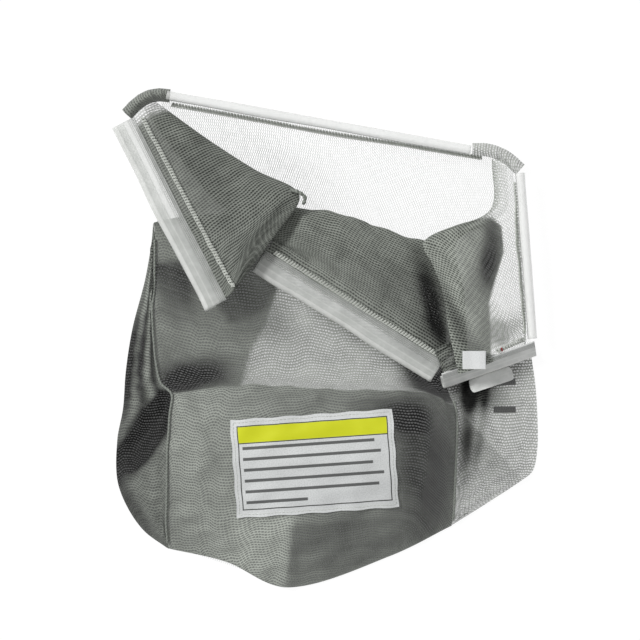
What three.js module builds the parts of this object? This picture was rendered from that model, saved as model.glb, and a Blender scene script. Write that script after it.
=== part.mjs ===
// A fabric grass collection bag for a lawn mower, collapsed and lying flat with its mouth folded open.
// Millimetres, +Z up. +X runs along the label's text lines and +Y from the closed end to the mouth.
// Places are [x, y, z] in the bag's own plan, and the finished bag is centred over its bounding box.

import * as THREE from 'three';

// Cloth
const CLOTH = 1.2; // thickness of the knitted mesh, loft included
const GAP = 0.3; // clearance between pieces that touch
const SEAM_SETBACK = 1.4; // each panel stops this short of a seam line
const CORD_RADIUS = 1.5; // of the corded seams

// Push-on binding channels round the mouth
const FLANGE_WIDTH = 7.5; // the ribbed strip that is sewn to the cloth
const FLANGE_THICKNESS = 1.4;
const RIB_HEIGHT = 0.6;
const RIB_COUNT = 3;
const HOOK_WIDTH = 19;
const HOOK_DEPTH = 9.5;
const HOOK_WALL = 1.4;
const HOOK_SLOT = 6; // the gap that the wire frame is pushed through

// Overlock stitching beside the bindings
const SERGE_WIDTH = 3.4;
const SERGE_HEIGHT = 1.5;
const SERGE_SETBACK = 2.6; // from the cloth's edge to the middle of the stitching

// Sewn-on pieces
const LABEL_WIDTH = 171;
const LABEL_HEIGHT = 104;
const LABEL_THICKNESS = 0.5;
const LABEL_TURN = 0.07; // radians, anticlockwise
const TAG_WIDTH = 25;
const TAG_HEIGHT = 19;
const TAG_THICKNESS = 0.6;
const STIFFENER_LENGTH = 48;
const STIFFENER_WIDTH = 15;
const STIFFENER_THICKNESS = 1.4;
const TACK_LENGTH = 4;
const TACK_THICKNESS = 1.2;

const FLOOR_CLOTH = CLOTH / 2; // middle of a layer that lies on the floor
const SECOND_CLOTH = FLOOR_CLOTH + CLOTH + GAP; // middle of a layer that lies on that one
const BINDING_FOOT = CLOTH + GAP; // a binding that stands on the back panel

const bag = new THREE.Group();

// Materials

const meshCloth = (tone) =>
  new THREE.MeshStandardMaterial({ color: tone, roughness: 0.75, metalness: 0, side: THREE.DoubleSide });

const clothMid = () => meshCloth(0x7d827a);
const clothPale = () => meshCloth(0xaab4ac);
const vinyl = () => new THREE.MeshStandardMaterial({ color: 0xbec0bc, roughness: 0.35, metalness: 0 });
const thread = () => new THREE.MeshStandardMaterial({ color: 0xb4b9b2, roughness: 0.85, metalness: 0 });
const whiteTape = () => new THREE.MeshStandardMaterial({ color: 0xe6e7e4, roughness: 0.6, metalness: 0 });
const redThread = () => new THREE.MeshStandardMaterial({ color: 0xb02c32, roughness: 0.8, metalness: 0 });

function addPiece(name, geometry, material) {
  const mesh = new THREE.Mesh(geometry, material);
  mesh.name = name;
  bag.add(mesh);
}

// Surfaces

const vector = (point) => new THREE.Vector3(...point);
const spline = (points) => new THREE.CatmullRomCurve3(points.map(vector), false, 'centripetal');
const clamp01 = (value) => THREE.MathUtils.clamp(value, 0, 1);

// A surface through cross rows: u runs along each row, v from the first row to the last.
function loft(rows) {
  const curves = rows.map(spline);
  return (u, v) => {
    const rib = new THREE.CatmullRomCurve3(curves.map((curve) => curve.getPoint(u)));
    return rib.getPoint(v);
  };
}

// A soft fold: its height falls away from the line between two plan points.
function creaseHeight(point, start, end, reach, height) {
  const line = new THREE.Line3(vector([...start, 0]), vector([...end, 0]));
  const flat = new THREE.Vector3(point.x, point.y, 0);
  const nearest = line.closestPointToPoint(flat, true, new THREE.Vector3());
  const away = flat.distanceTo(nearest) / reach;
  return height * Math.exp(-away * away);
}

// The surface with its creases added, and never lower than a second layer on the floor.
function withCreases(surface, creases) {
  return (u, v) => {
    const point = surface(u, v);
    for (const { start, end, reach, height } of creases) {
      point.z += creaseHeight(point, start, end, reach, height);
    }
    point.z = Math.max(point.z, SECOND_CLOTH);
    return point;
  };
}

// Cloth cut to a grid of columns and rows. Each trimmed edge stops short of its line by that much.
class Sheet {
  constructor(surface, columns, rows, trim = {}) {
    this.columns = columns;
    this.rows = rows;
    this.points = [];
    for (let j = 0; j <= rows; j += 1) {
      const row = [];
      for (let i = 0; i <= columns; i += 1) {
        row.push(surface(i / columns, j / rows));
      }
      this.points.push(row);
    }
    this.trimEdges(trim);
    this.normals = this.points.map((row, j) => row.map((_, i) => this.gridNormal(i, j)));
  }

  trimEdges({ left = 0, right = 0, start = 0, end = 0 }) {
    const pull = (edge, inner, distance) => {
      const inward = inner.clone().sub(edge).setLength(distance);
      edge.add(inward);
    };
    for (const row of this.points) {
      pull(row[0], row[1], left);
      pull(row[this.columns], row[this.columns - 1], right);
    }
    for (let i = 0; i <= this.columns; i += 1) {
      pull(this.points[0][i], this.points[1][i], start);
      pull(this.points[this.rows][i], this.points[this.rows - 1][i], end);
    }
  }

  gridNormal(i, j) {
    const { points, columns, rows } = this;
    const across = points[j][Math.min(i + 1, columns)].clone().sub(points[j][Math.max(i - 1, 0)]);
    const along = points[Math.min(j + 1, rows)][i].clone().sub(points[Math.max(j - 1, 0)][i]);
    return across.cross(along).normalize();
  }

  // The place over (u, v), lifted off the middle of the cloth on its upper side.
  place(u, v, lift) {
    const x = clamp01(u) * this.columns;
    const y = clamp01(v) * this.rows;
    const i = Math.min(Math.floor(x), this.columns - 1);
    const j = Math.min(Math.floor(y), this.rows - 1);
    const blend = (grid) => {
      const near = grid[j][i].clone().lerp(grid[j][i + 1], x - i);
      const far = grid[j + 1][i].clone().lerp(grid[j + 1][i + 1], x - i);
      return near.lerp(far, y - j);
    };
    return blend(this.points).addScaledVector(blend(this.normals).normalize(), lift);
  }

  // The (u, v) of the grid point nearest to a plan point, refined by a few halvings.
  find(x, y, vFrom = 0, vTo = 1) {
    let best = { u: 0.5, v: (vFrom + vTo) / 2 };
    let reach = { u: 0.5, v: (vTo - vFrom) / 2 };
    for (let round = 0; round < 12; round += 1) {
      let nearest = Infinity;
      const centre = best;
      for (let a = -4; a <= 4; a += 1) {
        for (let b = -4; b <= 4; b += 1) {
          const u = clamp01(centre.u + (a / 4) * reach.u);
          const v = THREE.MathUtils.clamp(centre.v + (b / 4) * reach.v, vFrom, vTo);
          const point = this.place(u, v, 0);
          const away = Math.hypot(point.x - x, point.y - y);
          if (away < nearest) {
            nearest = away;
            best = { u, v };
          }
        }
      }
      reach = { u: reach.u / 2, v: reach.v / 2 };
    }
    return best;
  }

  solid(thickness = CLOTH) {
    return bentBox(this.columns, this.rows, (u, v, side) => this.place(u, v, side * thickness));
  }
}

// A box whose grid of faces is bent onto place(u, v, side), with side from -0.5 to 0.5.
function bentBox(columns, rows, place) {
  const box = new THREE.BoxGeometry(1, 1, 1, columns, rows, 1);
  const position = box.getAttribute('position');
  for (let n = 0; n < position.count; n += 1) {
    const bent = place(position.getX(n) + 0.5, position.getY(n) + 0.5, position.getZ(n));
    position.setXYZ(n, bent.x, bent.y, bent.z);
  }
  box.computeVertexNormals();
  return box;
}

// A patch on one face of a sheet: face is 1 for the side that its normals point to, and -1 for the other.
// where(u, v) gives the patch's places as (u, v) of the sheet.
function layOn(sheet, face, columns, rows, thickness, where, clearance = GAP) {
  const base = CLOTH / 2 + clearance + thickness / 2;
  return bentBox(columns, rows, (u, v, side) => {
    const spot = where(u, v);
    return sheet.place(spot.u, spot.v, face * base + side * thickness);
  });
}

// Back panel: one layer that lies on the floor under the whole bag

const BACK_ROWS = [
  [[-160, -221], [-84, -246], [-34, -259], [66, -230], [132, -197]],
  [[-205, -176], [-100, -190], [-20, -200], [90, -180], [206, -146]],
  [[-215, -110], [-100, -110], [0, -112], [110, -112], [221, -112]],
  [[-207, -38], [-100, -38], [0, -38], [110, -38], [221, -38]],
  [[-187, 60], [-90, 60], [10, 60], [110, 60], [214, 60]],
  [[-177, 128], [-80, 130], [10, 130], [110, 130], [209, 130]],
  [[-174, 200], [-80, 192], [10, 182], [110, 172], [206, 168]],
  [[-172, 256], [-80, 240], [0, 225], [80, 211], [190, 193]],
];
const backRow = (row) => row.map(([x, y]) => [x, y, FLOOR_CLOTH]);
const backPanel = new Sheet(loft(BACK_ROWS.map(backRow)), 12, 16);
addPiece('back_panel', backPanel.solid(), clothPale());

// Main panel: one length of cloth from the front binding over the turned-down collar, the fold of the
// mouth, the sunken front and the ridge to the bulging end and its hem

const COLLAR_EDGE = 33; // height of the front binding's sewn edge
const COLLAR_FLAT = 0.5; // how much higher the cloth is at the far side of the stitching
const MAIN_ROWS = [
  [[-61, 93, COLLAR_EDGE], [-14, 64, COLLAR_EDGE], [33, 34, COLLAR_EDGE], [80, 5, COLLAR_EDGE],
    [126, -24, COLLAR_EDGE]],
  [[-54, 103, COLLAR_EDGE + COLLAR_FLAT], [-8, 74, COLLAR_EDGE + COLLAR_FLAT],
    [40, 44, COLLAR_EDGE + COLLAR_FLAT], [87, 15, COLLAR_EDGE + COLLAR_FLAT],
    [137, -10, COLLAR_EDGE + COLLAR_FLAT]],
  [[-112, 113, 25], [-34, 104, 30], [25, 84, 33], [75, 62, 32], [138, 36, 30]],
  [[-174, 121, 15], [-60, 131, 20], [15, 126, 22], [58, 111, 22], [117, 92, 21]],
  [[-180, 122, 11], [-62, 137, 14], [16, 131, 15], [58, 116, 15], [118, 97, 15]],
  [[-179, 112, 8], [-62, 127, 9], [15, 121, 9], [58, 105, 9], [118, 85, 9]],
  [[-180, 60, 12], [-80, 60, 14], [15, 54, 14], [72, 42, 13], [128, 34, 12]],
  [[-181, 20, 19], [-92, 14, 20], [0, 2, 18], [74, -8, 15], [129, -10, 12]],
  [[-177, -30, 21], [-96, -28, 16], [10, -36, 14], [84, -40, 13], [127, -38, 11]],
  [[-172, -48, 23], [-90, -41, 21], [14, -46, 22], [100, -50, 19], [132, -58, 14]],
  [[-160, -60, 27], [-86, -50, 45], [17, -55, 51], [112, -59, 43], [138, -73, 23]],
  [[-162, -82, 30], [-92, -70, 55], [12, -75, 60], [108, -79, 52], [140, -90, 27]],
  [[-165, -122, 27], [-98, -112, 53], [5, -116, 59], [106, -118, 51], [139, -122, 27]],
  [[-166, -165, 20], [-102, -165, 37], [-8, -170, 45], [100, -162, 35], [138, -155, 20]],
  [[-167, -200, 10], [-106, -212, 16], [-32, -228, 24], [88, -205, 14], [137, -185, 10]],
  [[-165, -223, SECOND_CLOTH], [-104, -237, SECOND_CLOTH], [-41, -264, SECOND_CLOTH],
    [70, -231, SECOND_CLOTH], [135, -199, SECOND_CLOTH]],
];
const MAIN_CREASES = [
  { start: [-36, -200], end: [-40, -262], reach: 9, height: 6 },
  { start: [-150, -70], end: [-124, -128], reach: 12, height: 6 },
  { start: [-155, -120], end: [-105, -215], reach: 10, height: 5 },
  { start: [-10, -60], end: [-50, -70], reach: 10, height: 4 },
  { start: [128, -80], end: [100, -205], reach: 12, height: 5 },
  { start: [-170, 40], end: [-70, -36], reach: 16, height: 6 },
  { start: [-160, -20], end: [-110, -44], reach: 8, height: -4 },
  { start: [-24, 128], end: [12, 90], reach: 8, height: 3 },
];
const MAIN_LAST_ROW = MAIN_ROWS.length - 1;
const mainRowV = (row) => row / MAIN_LAST_ROW;
const mainSurface = withCreases(loft(MAIN_ROWS), MAIN_CREASES);
const mainPanel = new Sheet(mainSurface, 16, 42, {
  left: SEAM_SETBACK,
  right: SEAM_SETBACK,
  start: GAP,
});
addPiece('main_panel', mainPanel.solid(), clothMid());

// Side panels: each runs from the outline on the floor up to its seam with the main panel

// The main panel's edge at u, from the given row down to the hem.
const sideSeam = (u, firstRow) => (v) => mainSurface(u, THREE.MathUtils.lerp(mainRowV(firstRow), 1, v));
const SIDE_PUFF = 0.27;
const LEFT_SEAM_ROW = 5;
const RIGHT_SEAM_ROW = 7.4;

// Cloth between an outline on the floor and a seam, puffed up between them by a share of the seam's height.
function sidePanelSurface(outline, seam) {
  const floor = spline(outline.map(([x, y]) => [x, y, SECOND_CLOTH]));
  return (u, v) => {
    const onFloor = floor.getPoint(v);
    const onSeam = seam(v);
    const puff = SIDE_PUFF * (onSeam.z - onFloor.z) * Math.sin(Math.PI * u);
    const point = onFloor.lerp(onSeam, u);
    point.z += puff;
    return point;
  };
}

const LEFT_OUTLINE = [[-181, 122], [-183, 100], [-190, 60], [-203, 10], [-210, -35], [-213, -75],
  [-219, -108], [-219, -150], [-209, -178], [-191, -204], [-167, -222]];
const LEFT_CREASES = [
  { start: [-166, -72], end: [-202, -122], reach: 13, height: -15 },
  { start: [-196, -60], end: [-214, -104], reach: 8, height: 5 },
  { start: [-190, 50], end: [-186, -40], reach: 7, height: 4 },
  { start: [-212, -150], end: [-172, -205], reach: 9, height: 4 },
];
const leftSideSurface = withCreases(
  sidePanelSurface(LEFT_OUTLINE, sideSeam(0, LEFT_SEAM_ROW)),
  LEFT_CREASES,
);
const leftSidePanel = new Sheet(leftSideSurface, 6, 26, { right: SEAM_SETBACK });
addPiece('left_side_panel', leftSidePanel.solid(), clothMid());

const RIGHT_OUTLINE = [[219, -14], [221, -28], [224, -50], [226, -80], [226, -118], [221, -141],
  [209, -151], [168, -178], [136, -198]];
const RIGHT_CREASES = [
  { start: [156, -88], end: [206, -146], reach: 10, height: 5 },
  { start: [153, -68], end: [155, -84], reach: 5, height: 2.5 },
  { start: [168, -66], end: [172, -96], reach: 6, height: 3 },
  { start: [156, -108], end: [172, -164], reach: 9, height: -4 },
];
const rightSideSurface = withCreases(
  sidePanelSurface(RIGHT_OUTLINE, sideSeam(1, RIGHT_SEAM_ROW)),
  RIGHT_CREASES,
);
const rightSidePanel = new Sheet((u, v) => rightSideSurface(1 - u, v), 8, 26, { left: SEAM_SETBACK });
addPiece('right_side_panel', rightSidePanel.solid(), clothPale());

// Mouth gussets: each is folded double, from its binding to the fold and part of the way back below

const LEFT_GUSSET_ROWS = [
  [[-199, 235, 12], [-190, 243, 15], [-180, 250, 12], [-176, 252, 8], [-180, 248, 5], [-188, 240, 4]],
  [[-175.2, 186.8, 22], [-156, 200, 24], [-134, 216, 18], [-126, 220, 12], [-134, 213, 8], [-154, 198, 8]],
  [[-150.8, 138.6, 32], [-124, 158, 36], [-88, 182, 27], [-76, 187, 19], [-86, 180, 13], [-120, 156, 16]],
  [[-126.1, 90.3, 42], [-96, 118, 46], [-44, 146, 37], [-26, 151, 30], [-38, 142, 26], [-84, 116, 29]],
  [[-113.9, 65.6, 47], [-90, 88, 52], [-60, 108, 48], [-48, 112, 43], [-57, 103, 38], [-80, 86, 38]],
  [[-102.9, 43, 51], [-93, 52, 54], [-86, 58, 53], [-82, 61, 48], [-84, 57, 43], [-88, 52, 42]],
];
const leftGusset = new Sheet(loft(LEFT_GUSSET_ROWS), 14, 18, { left: GAP });
addPiece('left_mouth_gusset', leftGusset.solid(), clothMid());

const RIGHT_GUSSET_ROWS = [
  [[200, 173, 5], [197, 180, 13], [192, 186, 13], [183, 185, 9], [188, 181, 6], [196, 178, 4]],
  [[203, 140, 5], [198, 142, 14], [188, 140, 18], [180, 136, 15], [184, 134, 10], [194, 134, 7]],
  [[205.5, 108, 5], [184, 112, 20], [132, 110, 33], [105, 101, 34], [112, 98, 27], [140, 102, 20]],
  [[208, 70, 5], [188, 74, 25], [142, 64, 42], [115, 76, 41], [121, 72, 36], [142, 74, 28]],
  [[210.5, 40, 5], [190, 36, 28], [150, 36, 46], [125, 48, 44], [131, 46, 39], [148, 48, 30]],
  [[212, 18, 5], [196, 8, 29], [160, 10, 46], [131, 10, 46], [137, 9, 41], [150, 12, 34]],
  [[212, -4, 12], [203, -7, 25], [176, -19, 37.2], [140, -31.5, 42], [143, -28, 38], [152, -22, 34]],
];
const rightGusset = new Sheet(loft(RIGHT_GUSSET_ROWS), 14, 20, { left: GAP });
addPiece('right_mouth_gusset', rightGusset.solid(), clothPale());

// Mouth corners: the cloth that joins the binding ends, folded over

// An arch of cloth along a path of [x, y, height] points, with its feet on the layer below.
function archSurface(path, width, foot) {
  const line = spline(path.map(([x, y]) => [x, y, 0]));
  const heights = spline(path.map(([, , height], n) => [n, height, 0]));
  return (u, v) => {
    const centre = line.getPoint(v);
    const tangent = line.getTangent(v);
    const turn = Math.PI * u;
    const out = (width / 2) * Math.cos(turn);
    const rise = (heights.getPoint(v).y - foot) * Math.sin(turn);
    return new THREE.Vector3(centre.x + tangent.y * out, centre.y - tangent.x * out, foot + rise);
  };
}

const TOP_LEFT_PATH = [[-206, 243, 12], [-194, 255, 20], [-181, 261, 24], [-170, 261, 20]];
const TOP_RIGHT_PATH = [[158.4, 199.6, 22], [174, 200, 26], [192, 193, 22], [207, 179.5, 18]];
const CORNER_WIDTH = 12;
const topLeftArch = archSurface(TOP_LEFT_PATH, CORNER_WIDTH, SECOND_CLOTH);
addPiece('top_left_corner', new Sheet(topLeftArch, 6, 8).solid(), clothMid());
const topRightArch = archSurface(TOP_RIGHT_PATH, CORNER_WIDTH, SECOND_CLOTH);
addPiece('top_right_corner', new Sheet(topRightArch, 6, 8).solid(), clothMid());

// Binding channels: one moulded section, cut to five lengths

// The section from the sewn edge at x = 0 to the rolled outer edge. Its smooth face is y = 0.
function bindingSection() {
  const width = FLANGE_WIDTH + HOOK_WIDTH;
  const outer = HOOK_DEPTH / 2;
  const inner = outer - HOOK_WALL;
  const lip = FLANGE_WIDTH + HOOK_SLOT;
  const ribPitch = FLANGE_WIDTH / RIB_COUNT;
  const section = new THREE.Shape();
  section.moveTo(0, -FLANGE_THICKNESS);
  section.lineTo(FLANGE_WIDTH + HOOK_WALL, -FLANGE_THICKNESS);
  section.lineTo(width - outer, -HOOK_WALL);
  section.absarc(width - outer, -outer, inner, Math.PI / 2, -Math.PI / 2, true);
  section.lineTo(lip, HOOK_WALL - HOOK_DEPTH);
  section.lineTo(lip, -HOOK_DEPTH);
  section.absarc(width - outer, -outer, outer, -Math.PI / 2, Math.PI / 2, false);
  for (let rib = RIB_COUNT; rib > 0; rib -= 1) {
    const crest = (rib - 0.5) * ribPitch;
    section.lineTo(crest + ribPitch * 0.3, -RIB_HEIGHT / 2);
    section.lineTo(crest, RIB_HEIGHT / 2);
    section.lineTo(crest - ribPitch * 0.3, -RIB_HEIGHT / 2);
  }
  section.lineTo(0, -RIB_HEIGHT / 2);
  return section;
}

// Axes for a binding whose sewn edge runs between two places: across goes from that edge to the roll.
function bindingAxes(from, to, roll) {
  const along = to.clone().sub(from).normalize();
  const side = along.clone().cross(new THREE.Vector3(0, 0, 1)).normalize();
  const up = side.clone().cross(along);
  const across = side.clone().multiplyScalar(Math.cos(roll)).addScaledVector(up, Math.sin(roll));
  const face = up.multiplyScalar(Math.cos(roll)).addScaledVector(side, -Math.sin(roll));
  return { along, across, face };
}

const BINDINGS = [
  { name: 'top_binding', from: [154, 194, BINDING_FOOT], to: [-167, 252, BINDING_FOOT], roll: 90 },
  { name: 'right_binding', from: [215.7, -1, BINDING_FOOT], to: [202.5, 174, BINDING_FOOT], roll: 90 },
  { name: 'left_binding', from: [-201, 234, 13], to: [-102, 41, 51], roll: 0 },
  { name: 'front_binding', from: [-61, 93, COLLAR_EDGE], to: [126, -24, COLLAR_EDGE], roll: 0 },
  { name: 'lower_right_binding', from: [124, -38, 44], to: [222, -4, 31], roll: -50 },
];
const BINDING_STEPS = 10;

for (const { name, from, to, roll } of BINDINGS) {
  const start = vector(from);
  const end = vector(to);
  const { along, across, face } = bindingAxes(start, end, THREE.MathUtils.degToRad(roll));
  const length = start.distanceTo(end);
  const geometry = new THREE.ExtrudeGeometry(bindingSection(), {
    depth: length,
    steps: 1,
    curveSegments: BINDING_STEPS,
    bevelEnabled: false,
  });
  const axes = new THREE.Matrix4().makeBasis(across, face, along.clone().negate());
  const lifted = end.addScaledVector(across, GAP);
  geometry.applyMatrix4(axes.setPosition(lifted));
  addPiece(name, geometry, vinyl());
}

// Overlock stitching: a raised strip on the cloth beside each binding

// The (u, v) that lies the given distance inside an edge of a sheet, at share t of that edge.
function insideEdge(sheet, edge, t, distance) {
  const spots = {
    left: (share) => ({ u: share, v: t }),
    start: (share) => ({ u: t, v: share }),
    end: (share) => ({ u: t, v: 1 - share }),
  };
  const spot = spots[edge];
  const edgeSpot = spot(0);
  const edgePoint = sheet.place(edgeSpot.u, edgeSpot.v, 0);
  let low = 0;
  let high = 0.5;
  for (let round = 0; round < 20; round += 1) {
    const middle = (low + high) / 2;
    const { u, v } = spot(middle);
    if (sheet.place(u, v, 0).distanceTo(edgePoint) < distance) {
      low = middle;
    } else {
      high = middle;
    }
  }
  return spot(low);
}

const TOP_STITCH_EXTRA = 7; // the back panel runs this far under the top binding
const LEFT_STITCH_EXTRA = 3.4; // the left binding stands off its stitching, more so at the lower end
const LEFT_STITCH_SPREAD = 7;
// Each strip runs between two grid lines of its sheet, on the face that looks up.
const STITCHING = [
  {
    name: 'left_stitching',
    sheet: leftGusset,
    edge: 'left',
    first: 17,
    last: 1,
    face: -1,
    extra: LEFT_STITCH_EXTRA,
    spread: LEFT_STITCH_SPREAD,
  },
  { name: 'right_stitching', sheet: rightGusset, edge: 'left', first: 18, last: 1 },
  { name: 'front_stitching', sheet: mainPanel, edge: 'start', first: 1, last: 15 },
  { name: 'lower_right_stitching', sheet: rightGusset, edge: 'end', first: 5, last: 1 },
  { name: 'top_stitching', sheet: backPanel, edge: 'end', first: 11, last: 1, extra: TOP_STITCH_EXTRA },
];

for (const { name, sheet, edge, first, last, face = 1, extra = 0, spread = 0 } of STITCHING) {
  const lines = edge === 'left' ? sheet.rows : sheet.columns;
  const geometry = layOn(sheet, face, Math.abs(first - last), 1, SERGE_HEIGHT, (u, v) => {
    const distance = SERGE_SETBACK + extra + (1 - u) * spread + (v - 0.5) * SERGE_WIDTH;
    return insideEdge(sheet, edge, THREE.MathUtils.lerp(first, last, u) / lines, distance);
  });
  addPiece(name, geometry, thread());
}

// Corded seams between the main panel and the side panels

const CORD_SIDES = 6;
const CORD_STEPS = 26;
const CORD_CLEARANCE = GAP + 0.5; // more than the gap, where the cord bridges the bends of the seam

// A cord over the seam where the main panel's edge at mainU meets a side panel's edge at sideU.
function seamCord(name, mainU, sidePanel, sideU, firstRow, from, to) {
  const lift = CLOTH / 2 + CORD_CLEARANCE + CORD_RADIUS;
  const places = [];
  for (let step = 0; step <= CORD_STEPS; step += 1) {
    const share = THREE.MathUtils.lerp(from, to, step / CORD_STEPS);
    const mainV = THREE.MathUtils.lerp(mainRowV(firstRow), 1, share);
    const overMain = mainPanel.place(mainU, mainV, -lift);
    const overSide = sidePanel.place(sideU, share, -lift);
    places.push(overMain.lerp(overSide, 0.5));
  }
  const section = new THREE.Shape();
  for (let side = 0; side < CORD_SIDES; side += 1) {
    const angle = (side / CORD_SIDES) * 2 * Math.PI;
    const draw = side === 0 ? 'moveTo' : 'lineTo';
    section[draw](CORD_RADIUS * Math.cos(angle), CORD_RADIUS * Math.sin(angle));
  }
  const geometry = new THREE.ExtrudeGeometry(section, {
    extrudePath: new THREE.CatmullRomCurve3(places),
    steps: CORD_STEPS,
    bevelEnabled: false,
  });
  addPiece(name, geometry, clothPale());
}

seamCord('left_seam_cord', 0, leftSidePanel, 1, LEFT_SEAM_ROW, 0.02, 0.97);
seamCord('right_seam_cord', 1, rightSidePanel, 0, RIGHT_SEAM_ROW, 0.3, 0.93);

// Gathered cloth at the corner between the front and lower right bindings

const GATHER_PATH = [[120, -14.6, 38], [124, -24.6, 41], [128, -32, 43]];
const GATHER_WIDTH = 10;
const GATHER_FOOT = COLLAR_EDGE + 1.9;
const GATHER_PLEATS = 3;
const GATHER_PLEAT_HEIGHT = 0.8;
const gatherArch = archSurface(GATHER_PATH, GATHER_WIDTH, GATHER_FOOT);
const gatherSurface = (u, v) => {
  const place = gatherArch(u, v);
  place.z += GATHER_PLEAT_HEIGHT * Math.sin(Math.PI * u) * Math.sin(2 * Math.PI * GATHER_PLEATS * v);
  return place;
};
addPiece('mouth_corner_gather', new Sheet(gatherSurface, 6, 12).solid(), clothMid());

// Sewn-on label: a patch on the bulging end

const LABEL_CENTRE = [-10, -132];
const LABEL_COLUMNS = 14;
const LABEL_ROWS = 9;
const LABEL_BRIDGE = 0.45; // how far the stiff patch stands off the hollows of the cloth
const LABEL_FIRST_ROW = 10.5;

const labelPlace = (u, v) => {
  const across = (u - 0.5) * LABEL_WIDTH;
  const up = (0.5 - v) * LABEL_HEIGHT;
  const x = LABEL_CENTRE[0] + across * Math.cos(LABEL_TURN) - up * Math.sin(LABEL_TURN);
  const y = LABEL_CENTRE[1] + across * Math.sin(LABEL_TURN) + up * Math.cos(LABEL_TURN);
  return mainPanel.find(x, y, mainRowV(LABEL_FIRST_ROW), 1);
};
const label = layOn(
  mainPanel,
  -1,
  LABEL_COLUMNS,
  LABEL_ROWS,
  LABEL_THICKNESS,
  labelPlace,
  GAP + LABEL_BRIDGE,
);
addPiece('label', label, whiteTape());

// Tag: a tape folded back on itself, sewn at the lower right corner of the mouth

const TAG_CORNER = [145.5, -32.5, 46.4];
const TAG_SLOPE = -0.19; // it leans with the gusset below it
const TAG_FOLD_RADIUS = 1;

// A flattened loop of tape, open at x = 0 and folded at x = TAG_WIDTH.
function tagSection() {
  const bend = TAG_WIDTH - TAG_FOLD_RADIUS;
  const inner = TAG_FOLD_RADIUS - TAG_THICKNESS;
  const section = new THREE.Shape();
  section.moveTo(0, 0);
  section.lineTo(bend, 0);
  section.absarc(bend, TAG_FOLD_RADIUS, TAG_FOLD_RADIUS, -Math.PI / 2, Math.PI / 2, false);
  section.lineTo(0, 2 * TAG_FOLD_RADIUS);
  section.lineTo(0, 2 * TAG_FOLD_RADIUS - TAG_THICKNESS);
  section.lineTo(bend, 2 * TAG_FOLD_RADIUS - TAG_THICKNESS);
  section.absarc(bend, TAG_FOLD_RADIUS, inner, Math.PI / 2, -Math.PI / 2, true);
  section.lineTo(0, TAG_THICKNESS);
  return section;
}

const tag = new THREE.ExtrudeGeometry(tagSection(), {
  depth: TAG_HEIGHT,
  curveSegments: 6,
  bevelEnabled: false,
});
const tagAcross = new THREE.Vector3(1, 0, TAG_SLOPE).normalize();
const tagDown = new THREE.Vector3(0, -1, 0);
const tagFace = tagDown.clone().cross(tagAcross);
const tagOrigin = vector(TAG_CORNER).addScaledVector(tagDown, -TAG_HEIGHT);
tag.applyMatrix4(new THREE.Matrix4().makeBasis(tagAcross, tagFace, tagDown).setPosition(tagOrigin));
addPiece('tag', tag, whiteTape());

// Red tack stitch across the overlock stitching

const TACK_PLACE = 0.2; // share of the way along the lower right edge
const TACK_SPREAD = 0.012;
const tack = layOn(
  rightGusset,
  1,
  1,
  1,
  TACK_THICKNESS,
  (u, v) => insideEdge(
    rightGusset,
    'end',
    TACK_PLACE + (0.5 - u) * TACK_SPREAD,
    SERGE_SETBACK + (v - 0.5) * TACK_LENGTH,
  ),
  GAP + SERGE_HEIGHT + GAP,
);
addPiece('tack_stitch', tack, redThread());

// Stiffener: a flat plastic strip that lies on the right side panel below the lower right binding

const STIFFENER_CENTRE = [177, -44];
const STIFFENER_TURN = 0.32; // radians, anticlockwise
const stiffener = layOn(
  rightSidePanel,
  -1,
  6,
  2,
  STIFFENER_THICKNESS,
  (u, v) => {
    const along = (u - 0.5) * STIFFENER_LENGTH;
    const up = (0.5 - v) * STIFFENER_WIDTH;
    const x = STIFFENER_CENTRE[0] + along * Math.cos(STIFFENER_TURN) - up * Math.sin(STIFFENER_TURN);
    const y = STIFFENER_CENTRE[1] + along * Math.sin(STIFFENER_TURN) + up * Math.cos(STIFFENER_TURN);
    return rightSidePanel.find(x, y);
  },
  GAP + 0.3,
);
addPiece('stiffener_strip', stiffener, vinyl());

// Centre the bag over its bounding box, with its lowest point at zero

const bounds = new THREE.Box3().setFromObject(bag);
const middle = bounds.getCenter(new THREE.Vector3());
bag.position.set(-middle.x, -middle.y, -bounds.min.z);

export default bag;
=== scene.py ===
import math

import bpy
import numpy as np
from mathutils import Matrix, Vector


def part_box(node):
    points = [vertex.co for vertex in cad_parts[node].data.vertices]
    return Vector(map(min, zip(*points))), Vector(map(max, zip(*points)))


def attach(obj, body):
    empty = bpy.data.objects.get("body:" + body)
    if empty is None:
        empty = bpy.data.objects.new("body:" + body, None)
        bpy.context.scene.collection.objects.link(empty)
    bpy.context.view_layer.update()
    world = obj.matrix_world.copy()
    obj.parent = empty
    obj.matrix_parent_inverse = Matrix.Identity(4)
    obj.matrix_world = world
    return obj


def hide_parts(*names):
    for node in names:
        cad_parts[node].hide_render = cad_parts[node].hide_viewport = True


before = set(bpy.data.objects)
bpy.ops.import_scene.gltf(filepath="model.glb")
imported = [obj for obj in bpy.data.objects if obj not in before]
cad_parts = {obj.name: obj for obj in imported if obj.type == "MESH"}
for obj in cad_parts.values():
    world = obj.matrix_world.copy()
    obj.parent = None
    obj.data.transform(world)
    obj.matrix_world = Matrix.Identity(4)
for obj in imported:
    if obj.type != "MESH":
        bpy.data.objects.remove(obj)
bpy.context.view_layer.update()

# Places are in the bag's own plan, in millimetres: +X along the label from left to right, +Y from the
# closed end to the mouth, +Z up. to_frame() moves them into the shared frame, in metres.

CLOTH = 1.2
GAP = 0.3
FLOOR_CLOTH = CLOTH / 2
SECOND_CLOTH = FLOOR_CLOTH + CLOTH + GAP
BINDING_FOOT = CLOTH + GAP
COLLAR_EDGE = 33
SIDE_PUFF = 0.27
LEFT_SEAM_ROW = 5
RIGHT_SEAM_ROW = 7.4
CORD_RADIUS = 1.5

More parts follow.
